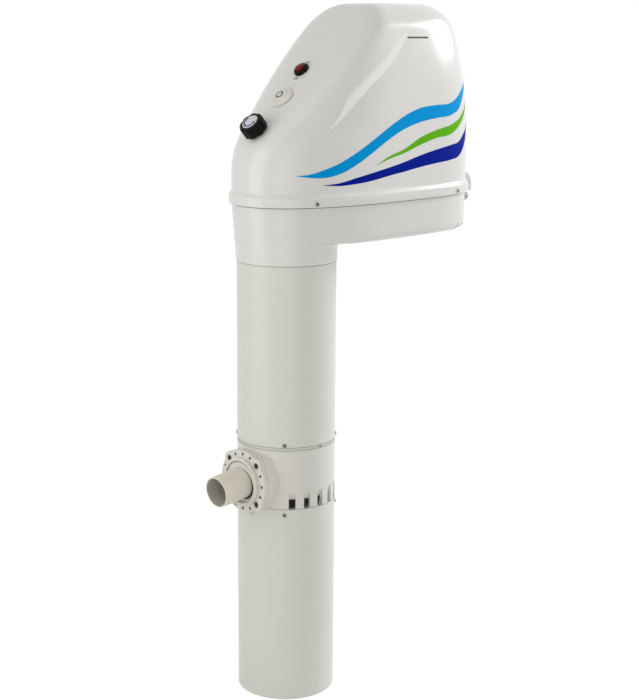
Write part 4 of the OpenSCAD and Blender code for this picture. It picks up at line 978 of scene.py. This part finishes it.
class SWIMJET_OT_stripes(SwimJetOperator, bpy.types.Operator):
    """Three sweeping stripes on each side of the hood"""

    bl_idname = "swimjet.stripes"
    bl_label = "Stripes"

    def execute(self, context):
        paint = colours()
        light = [
            (-0.060, 0.1392, 0.1396), (-0.038, 0.1355, 0.1410), (-0.007, 0.1342, 0.1494),
            (0.027, 0.1404, 0.1614), (0.064, 0.1559, 0.1790), (0.104, 0.1772, 0.2003),
            (0.147, 0.2004, 0.2237), (0.194, 0.2199, 0.2453), (0.242, 0.2317, 0.2594),
            (0.293, 0.2378, 0.2637), (0.345, 0.2425, 0.2672), (0.377, 0.2546, 0.2810),
            (0.400, 0.2790, 0.2960), (0.420, 0.3000, 0.3080), (0.434, 0.3180, 0.3184),
        ]
        green = [
            (0.113, 0.1513, 0.1517), (0.147, 0.1625, 0.1672), (0.193, 0.1726, 0.1805),
            (0.241, 0.1865, 0.2010), (0.291, 0.1976, 0.2137), (0.345, 0.2045, 0.2230),
            (0.373, 0.2170, 0.2322), (0.396, 0.2340, 0.2460), (0.418, 0.2570, 0.2640),
            (0.434, 0.2800, 0.2804),
        ]
        dark = [
            (-0.010, 0.1196, 0.1200), (0.027, 0.1173, 0.1231), (0.064, 0.1192, 0.1308),
            (0.104, 0.1232, 0.1383), (0.147, 0.1299, 0.1460), (0.193, 0.1355, 0.1548),
            (0.241, 0.1420, 0.1655), (0.292, 0.1470, 0.1745), (0.345, 0.1510, 0.1815),
            (0.373, 0.1560, 0.1860), (0.394, 0.1700, 0.1990), (0.418, 0.2030, 0.2160),
            (0.434, 0.2380, 0.2384),
        ]
        for tone, keys in (("light", light), ("green", green), ("dark", dark)):
            name = f"stripe_{tone}"
            vinyl = finish_material(f"Vinyl {name}", getattr(paint, f"{tone}_stripe"), "vinyl")
            mesh = build(self.band(keys, 1), self.band(keys, -1))
            place_piece(name, mesh, vinyl, "body", sharp=60)
        return {"FINISHED"}

    def band(self, keys, side):
        """Thin sheet on one side of the hood between two smooth lines of height over length."""
        head = head_sizes()
        under, over, least = 0.04 * MM, 0.20 * MM, 0.2 * MM
        along, low, high = np.array(keys).T
        y = np.linspace(along[0], along[-1], 260)
        bottom, top = smooth_line(y, along, low), smooth_line(y, along, high)
        z = bottom[:, None] + np.maximum(top - bottom, least)[:, None] * np.linspace(0, 1, 9)
        sheet = hood_surface(head, hood_turn(head, y[:, None] + 0 * z, z), z)
        out = unit(np.cross(np.gradient(sheet, axis=0), np.gradient(sheet, axis=1)))
        rings = np.concatenate([sheet + out * over, (sheet + out * under)[:, ::-1]], axis=1)
        return capped(rings * np.array([side, 1, 1]))


class SWIMJET_OT_knob(SwimJetOperator, bpy.types.Operator):
    """Fluted air knob with its pale disc and a turning arrow"""

    bl_idname = "swimjet.knob"
    bl_label = "Air knob"

    def execute(self, context):
        head, sizes = head_sizes(), control_sizes()
        place = panel_matrix(head, sizes.knob_place, 2 * MM)
        edge, top, disc = sizes.knob_radius / MM, sizes.knob_height / MM, sizes.disc_radius / MM
        arc = np.linspace(0, QUARTER, 9)
        profile = MM * np.vstack([
            [[13, 0.4], [edge - 1, 0], [edge, 1], [edge, 6], [edge, 13]],
            np.c_[edge - 4 + 4 * np.cos(arc), top - 4.5 + 4.5 * np.sin(arc)],
            [[disc + 0.8, top - 0.05], [disc + 0.2, top - 0.5], [disc + 0.1, top - 1.6]],
        ])
        columns, flute = 192, 2.2 * MM
        rings = revolved(profile, columns)
        groove = np.clip(np.cos(sizes.knob_flutes * full_turn(columns)), 0, 1) ** 1.5
        depth = np.where(profile[:, 0] > 20.5 * MM, flute, 0)[:, None] * groove
        rings[..., :2] *= (1 - depth / profile[:, :1])[..., None]
        floor, well = moved(np.outer(profile[[0, -1], 1], UP), place)
        mesh = build(shell(moved(rings, place), floor, well))
        place_piece("knob_grip", mesh, own_finish("black"), "knob", ["air_knob"])
        cap = MM * np.array([
            [disc - 0.1, top - 1.4], [disc, top - 0.4], [disc - 0.4, top + 0.2], [disc - 2, top + 0.5],
            [disc / 2, top + 0.6], [2, top + 0.62],
        ])
        pale = finish_material("Knob disc", (0.70, 0.69, 0.76), "disc")
        mesh = build(turned(cap, place, poles=cap[[0, -1], 1]))
        place_piece("knob_disc", mesh, pale, "knob", ["knob_cap"])
        self.arrow(place, (top + 0.56) * MM)
        return {"FINISHED"}

    def arrow(self, place, lift):
        """Arc that widens to an arrow head at its end: a band whose half width follows the turn."""
        start, neck, tip = np.radians([140, 350, 375])
        turn = np.linspace(start, tip, 120)
        radius, barb, line, least = 12.2, 3.4 * MM, 1.6 * MM, 0.02 * MM
        width = np.where(turn > neck, barb * (tip - turn) / (tip - neck), line)
        across = rays(turn) * np.maximum(width, least)[:, None]
        rings = strip(rays(turn) * radius * MM, across, UP, lift, 0.14 * MM)
        mesh = build(capped(moved(rings, place)))
        place_piece("knob_arrow", mesh, own_finish("symbol"), "knob", sharp=60)


class SWIMJET_OT_button(SwimJetOperator, bpy.types.Operator):
    """Low domed push button in its bezel, with a ring printed on it"""

    bl_idname = "swimjet.button"
    bl_label = "Push button"

    def execute(self, context):
        head, sizes = head_sizes(), control_sizes()
        place = panel_matrix(head, sizes.button_place)
        outer, button = sizes.bezel_radius / MM, sizes.button_radius / MM
        hole, under = button + 0.25, 4.3
        slope = np.linspace(outer - 0.6, hole + 0.2, 14)
        profile = MM * np.vstack([
            [[hole, 0.4], [outer - 0.9, 0.4], [outer - 0.9, 1.0], [outer, 1.1], [outer, 1.9],
             [outer - 0.25, self.dome(outer, outer - 0.25)]],
            np.c_[slope, self.dome(outer, slope)],
            [[hole, self.dome(outer, hole) - 0.25], [hole, 4]],
        ])
        cream = finish_material("Button cream", (0.75, 0.74, 0.69), "button")
        mesh = build(turned(profile, place, 128))
        place_piece("button_surround", mesh, cream, "body", ["button_bezel"])
        crown = np.linspace(button - 0.3, 0.8, 12)
        cap = MM * np.vstack([
            [[4, under], [button - 0.6, under], [button, 4.9], [button, self.dome(outer, button) - 0.3]],
            np.c_[crown, self.dome(outer, crown)],
        ])
        mesh = build(turned(cap, place, poles=(under * MM, self.dome(outer, 0.0) * MM)))
        place_piece("button_dome", mesh, cream, "button", ["button_cap"])
        ray, ring_radius = rays(full_turn(96)), 7
        lift = self.dome(outer, ring_radius) - 0.25
        ring = strip(ray * ring_radius * MM, ray * 1.35 * MM, UP, lift * MM, 0.45 * MM)
        mesh = build(shell(moved(ring, place), wrap_rows=True))
        place_piece("button_ring", mesh, own_finish("symbol"), "button", sharp=60)
        return {"FINISHED"}

    def dome(self, outer, radius):
        """Height in millimetres of the low dome that the bezel and the button share: a paraboloid."""
        edge, rise = 2.0, 7.4
        return edge + rise * (1 - (radius / outer) ** 2)


class SWIMJET_OT_switch(SwimJetOperator, bpy.types.Operator):
    """Round rocker switch in its black bezel, with ON and OFF beside it"""

    bl_idname = "swimjet.switch"
    bl_label = "Rocker switch"

    def execute(self, context):
        head, sizes = head_sizes(), control_sizes()
        place = panel_matrix(head, sizes.switch_place)
        outer, hole = sizes.switch_radius / MM, sizes.rocker_radius / MM + 0.45
        profile = np.array([
            [hole, 0.4], [outer - 0.4, 0.2], [outer, 0.7], [outer, 3.4], [outer - 0.3, 4.2],
            [outer - 1.1, 5.4], [outer - 2.2, 6.8], [outer - 3.1, 7.9], [outer - 3.6, 8.3],
            [hole + 1.1, 8.4], [hole + 0.3, 8.2], [hole, 7.6], [hole, 3.0],
        ]) * MM
        mesh = build(turned(profile, place))
        place_piece("switch_surround", mesh, own_finish("black"), "body", ["switch_bezel"])
        seat = panel_matrix(head, sizes.switch_place, 5.7 * MM, -sizes.rocker_tilt)
        edge = sizes.rocker_radius / MM
        cap = np.array([
            [1.0, -1.7], [edge - 0.6, -1.7], [edge, -1.1], [edge, 3.7], [edge - 0.3, 4.4], [edge - 1.2, 5.0],
            [6.0, 5.5], [3.0, 5.9], [0.8, 6.0],
        ]) * MM
        mesh = build(turned(cap, seat, poles=cap[[0, -1], 1]))
        place_piece("switch_lens", mesh, own_finish("lens"), "rocker", ["switch_rocker"])
        for word, offset in (("ON", 0.022), ("OFF", -0.0225)):
            self.word(word, panel_matrix(head, sizes.switch_place + offset, 0.05 * MM))
        return {"FINISHED"}

    def word(self, word, matrix):
        """A short printed word, as a mesh that lies on the panel."""
        curve = bpy.data.curves.new(f"print_{word.lower()}", "FONT")
        curve.body = word
        curve.size = 7.4 * MM
        curve.offset = 0.12 * MM
        curve.align_x = "CENTER"
        curve.align_y = "CENTER"
        curve.extrude = 0.08 * MM
        holder = bpy.data.objects.new("print_holder", curve)
        bpy.context.scene.collection.objects.link(holder)
        graph = bpy.context.evaluated_depsgraph_get()
        mesh = bpy.data.meshes.new_from_object(holder.evaluated_get(graph))
        bpy.data.objects.remove(holder)
        bpy.data.curves.remove(curve)
        mesh.transform(matrix)
        mesh.materials.clear()
        place_piece(f"print_{word.lower()}", mesh, own_finish("symbol"), "body", sharp=60)


class SWIMJET_OT_finishes(SwimJetOperator, bpy.types.Operator):
    """Finishes of the pieces that keep their CAD shape"""

    bl_idname = "swimjet.finishes"
    bl_label = "Finishes"

    def execute(self, context):
        paint = colours()
        kinds = {
            "tube_plastic": ("Tube white", paint.tube, "tube"),
            "collar_plastic": ("Collar white", paint.collar, "tube"),
            "flange_plastic": ("Flange white", paint.collar, "satin"),
            "nozzle_plastic": ("Nozzle beige", paint.nozzle, "satin"),
            "ball_plastic": ("Ball cream", paint.ball, "satin"),
            "seal_rubber": ("Seal rubber", (0.02, 0.02, 0.02), "rubber"),
            "ring_rubber": ("Ring rubber", (0.66, 0.67, 0.63), "rubber"),
            "gasket_rubber": ("Gasket grey", (0.58, 0.575, 0.55), "rubber"),
            "pin_steel": ("Pin steel", (0.12, 0.115, 0.105), "steel"),
            "screw_steel": ("Flange screw steel", (0.075, 0.07, 0.06), "dull"),
            "bolt_brass": ("Bolt bronze", (0.10, 0.082, 0.055), "dull"),
            "cowl_plastic": ("Cowl grey", (0.74, 0.74, 0.73), "satin"),
            "gland_plastic": ("Gland grey", (0.42, 0.42, 0.42), "satin"),
            "valve_brass": ("Valve brass", (0.50, 0.33, 0.11), "steel"),
            "hose_rubber": ("Hose rubber", (0.03, 0.032, 0.036), "rubber"),
            "bellows_rubber": ("Bellows rubber", (0.015, 0.015, 0.016), "rubber"),
            "switch_black": ("Switch black", paint.black, "satin"),
            "box_plastic": ("Box grey", (0.17, 0.18, 0.20), "satin"),
            "capacitor_can": ("Can aluminium", (0.55, 0.56, 0.58), "steel"),
            "pipe_plastic": ("Pipe grey", (0.15, 0.17, 0.19), "tube"),
            "pump_plastic": ("Pump black", (0.012, 0.013, 0.015), "satin"),
            "impeller_plastic": ("Impeller cream", (0.48, 0.45, 0.35), "satin"),
            "bolt_steel": ("Bolt steel", (0.42, 0.42, 0.43), "steel"),
            "seal_ceramic": ("Seal ceramic", (0.34, 0.32, 0.28), "satin"),
            "motor_paint": ("Motor blue", (0.012, 0.035, 0.095), "satin"),
            "bell_cast": ("Bell casting", (0.40, 0.41, 0.42), "steel"),
            "core_steel": ("Core steel", (0.14, 0.14, 0.145), "steel"),
            "shaft_steel": ("Shaft steel", (0.50, 0.50, 0.51), "steel"),
            "fan_plastic": ("Fan black", (0.01, 0.01, 0.012), "satin"),
        }
        slots = {p["node"]: p["material_slot"] for p in frame["record"]["subparts"]}
        for node, piece in frame["nodes"].items():
            if slots[node] in kinds:
                name, tint, kind = kinds[slots[node]]
                piece.data.materials.clear()
                piece.data.materials.append(finish_material(name, tint, kind))
        self.paint_bore_shade(bpy.data.materials["Nozzle beige"])
        return {"FINISHED"}

    def paint_bore_shade(self, material):
        """Paints shade inside the nozzle's bore: darkens its plastic by the distance from the nozzle's axis.
        """
        tree = material.node_tree
        inputs = {"Vector": object_place(tree), "Location": BALL_CENTRE, "Rotation": (BALL_TURN, 0, 0)}
        axis = add_node(tree, "ShaderNodeMapping", inputs, vector_type="TEXTURE")
        flat = add_node(
            tree, "ShaderNodeVectorMath", {0: axis.outputs["Vector"], 1: (1, 1, 0)}, operation="MULTIPLY"
        )
        bore, shade = (28.8 * MM, 29.8 * MM), (0.68, 1.0)
        scale_colour(material, ramp(tree, distance(tree, flat.outputs["Vector"]), bore, shade))


# Camera: its level right, its up before the roll, its roll and its place
CAMERA_RIGHT = np.array([0.69966, 0.71447, 0.0])
CAMERA_UP = np.array([-0.15383, 0.15064, 0.97655])
CAMERA_ROLL = -0.007
CAMERA_PLACE = (2.1068, -2.2194, 0.4138)
# Lamps: bearing from the camera's side, rise, tint, and the distance and size where they aren't the usual
LAMPS = (
    ("left_lamp", -60, 5, (1.0, 0.985, 0.96)),
    ("front_lamp", 0, 4, (1.0, 0.97, 0.92)),
    ("high_lamp", -50, 45, (1.0, 0.985, 0.96)),
    ("side_lamp", 80, 25, (0.98, 0.99, 1.0)),
    ("rear_lamp", 118, 25, (0.97, 0.985, 1.0), 5.0, (1.8, 1.8)),
)
LAMP_TARGET = np.array([0.0, -0.1, 0.0])
FLOOR_REACH = 9


def axes_at(x_axis, y_axis, z_axis, place):
    """Matrix with these axes at a place."""
    matrix = np.eye(4)
    matrix[:3] = np.stack([x_axis, y_axis, z_axis, place], axis=1)
    return Matrix(matrix)


class SWIMJET_OT_stage(SwimJetOperator, bpy.types.Operator):
    """Camera, pale floor and soft studio light"""

    bl_idname = "swimjet.stage"
    bl_label = "Stage"

    def execute(self, context):
        scene = context.scene
        stage = scene.swim_jet_stage
        scene.view_settings.view_transform = "Standard"
        self.camera(scene, stage)
        self.floor(scene)
        self.sky(scene, stage.sky)
        for name, *setting in LAMPS:
            self.lamp(scene, name, getattr(stage, name), *setting)
        return {"FINISHED"}

    def camera(self, scene, stage):
        """Camera at the viewing angle of the picture, with no shift."""
        data = bpy.data.cameras.new("camera")
        data.lens = stage.lens
        data.sensor_width = 36
        data.clip_start, data.clip_end = 0.05, 60
        camera = bpy.data.objects.new("camera", data)
        scene.collection.objects.link(camera)
        x_axis = math.cos(CAMERA_ROLL) * CAMERA_RIGHT - math.sin(CAMERA_ROLL) * CAMERA_UP
        y_axis = math.sin(CAMERA_ROLL) * CAMERA_RIGHT + math.cos(CAMERA_ROLL) * CAMERA_UP
        camera.matrix_world = axes_at(x_axis, y_axis, np.cross(x_axis, y_axis), CAMERA_PLACE)
        scene.camera = camera

    def floor(self, scene):
        """Pale floor, white to the camera and to glossy rays, whiter far out, with a soft shadow."""
        far, z = FLOOR_REACH, CAD_BOX[0][2]
        mesh = bpy.data.meshes.new("floor")
        corners = [(-far, -far, z), (far, -far, z), (far, far, z), (-far, far, z)]
        mesh.from_pydata(corners, [], [(0, 1, 2, 3)])
        material = bpy.data.materials.new("Floor white")
        material.use_nodes = True
        tree = material.node_tree
        tree.nodes.remove(tree.nodes["Principled BSDF"])
        spread, brightness = (1.2, 3.2), (0.92, 0.99)
        glow = ramp(tree, distance(tree, object_place(tree)), spread, brightness)
        glow = add_node(tree, "ShaderNodeEmission", {"Strength": glow}).outputs[0]
        matt, shade = (
            add_node(tree, "ShaderNodeBsdfDiffuse", {"Color": (grey, grey, grey, 1)}).outputs[0]
            for grey in (0.8, 0.16)
        )
        shown = add_node(tree, "ShaderNodeAddShader", {0: shade, 1: glow}).outputs[0]
        mix = add_node(tree, "ShaderNodeMixShader", {0: self.seen(tree), 1: matt, 2: shown}).outputs[0]
        tree.links.new(mix, tree.nodes["Material Output"].inputs["Surface"])
        mesh.materials.append(material)
        floor = bpy.data.objects.new("floor", mesh)
        scene.collection.objects.link(floor)

    def seen(self, tree):
        """1 for rays from the camera and for glossy or transmitted rays, else 0."""
        ray = tree.nodes.new("ShaderNodeLightPath").outputs
        seen = maths(tree, "MAXIMUM", ray["Is Camera Ray"], ray["Is Glossy Ray"])
        return maths(tree, "MAXIMUM", seen, ray["Is Transmission Ray"])

    def sky(self, scene, fill):
        """World that is white to the camera and to glossy rays, and an even, warm fill to the rest."""
        world = bpy.data.worlds.new("studio")
        scene.world = world
        world.use_nodes = True
        tree = world.node_tree
        warm = (fill, 0.975 * fill, 0.92 * fill, 1)
        inputs = {"Factor": self.seen(tree), "A": warm, "B": (1, 1, 1, 1)}
        tint = add_node(tree, "ShaderNodeMix", inputs, data_type="RGBA")
        tree.links.new(tint.outputs["Result"], tree.nodes["Background"].inputs["Color"])

    def lamp(self, scene, name, power, bearing, rise, tint, away=2.4, size=(1.6, 2.6)):
        """A soft rectangular lamp round the part, at a bearing from the camera's side and a rise over it."""
        turn, lift = math.radians(bearing), math.radians(rise)
        level_heading = math.cos(turn) * np.cross(CAMERA_RIGHT, UP) + math.sin(turn) * CAMERA_RIGHT
        heading = math.cos(lift) * level_heading + math.sin(lift) * UP
        data = bpy.data.lights.new(name, "AREA")
        data.shape = "RECTANGLE"
        data.size, data.size_y = size
        data.energy = power
        data.color = tint
        across = unit(np.cross(UP, heading))
        lamp = bpy.data.objects.new(name, data)
        scene.collection.objects.link(lamp)
        lamp.matrix_world = axes_at(across, np.cross(heading, across), heading, LAMP_TARGET + away * heading)


PIECE_OPERATORS = (
    SWIMJET_OT_hood, SWIMJET_OT_base, SWIMJET_OT_seams, SWIMJET_OT_screws, SWIMJET_OT_stripes,
    SWIMJET_OT_knob, SWIMJET_OT_button, SWIMJET_OT_switch, SWIMJET_OT_finishes, SWIMJET_OT_stage,
)

PROPERTY_GROUPS = {
    "swim_jet_head": SwimJetHead,
    "swim_jet_controls": SwimJetControls,
    "swim_jet_screws": SwimJetScrews,
    "swim_jet_colours": SwimJetColours,
    "swim_jet_stage": SwimJetStage,
}


class SWIMJET_PT_sidebar(bpy.types.Panel):
    """Lists the swim jet's operators and sizes"""

    bl_idname = "SWIMJET_PT_sidebar"
    bl_label = "Swim jet"
    bl_space_type = "VIEW_3D"
    bl_region_type = "UI"
    bl_category = "Swim jet"

    def draw(self, context):
        for operator in PIECE_OPERATORS:
            self.layout.operator(operator.bl_idname)
        for group in PROPERTY_GROUPS:
            values = getattr(context.scene, group)
            box = self.layout.box()
            for name in values.__annotations__:
                box.prop(values, name)


def register():
    for name, group in PROPERTY_GROUPS.items():
        bpy.utils.register_class(group)
        setattr(bpy.types.Scene, name, PointerProperty(type=group))
    for operator in (*PIECE_OPERATORS, SWIMJET_PT_sidebar):
        bpy.utils.register_class(operator)


def unregister():
    for operator in (SWIMJET_PT_sidebar, *reversed(PIECE_OPERATORS)):
        bpy.utils.unregister_class(operator)
    for name, group in PROPERTY_GROUPS.items():
        delattr(bpy.types.Scene, name)
        bpy.utils.unregister_class(group)


def main():
    register()
    bpy.ops.swimjet.hood()
    bpy.ops.swimjet.base()
    bpy.ops.swimjet.seams()
    bpy.ops.swimjet.screws()
    bpy.ops.swimjet.stripes()
    bpy.ops.swimjet.knob()
    bpy.ops.swimjet.button()
    bpy.ops.swimjet.switch()
    bpy.ops.swimjet.finishes()
    bpy.ops.swimjet.stage()


if __name__ == "__main__":
    main()
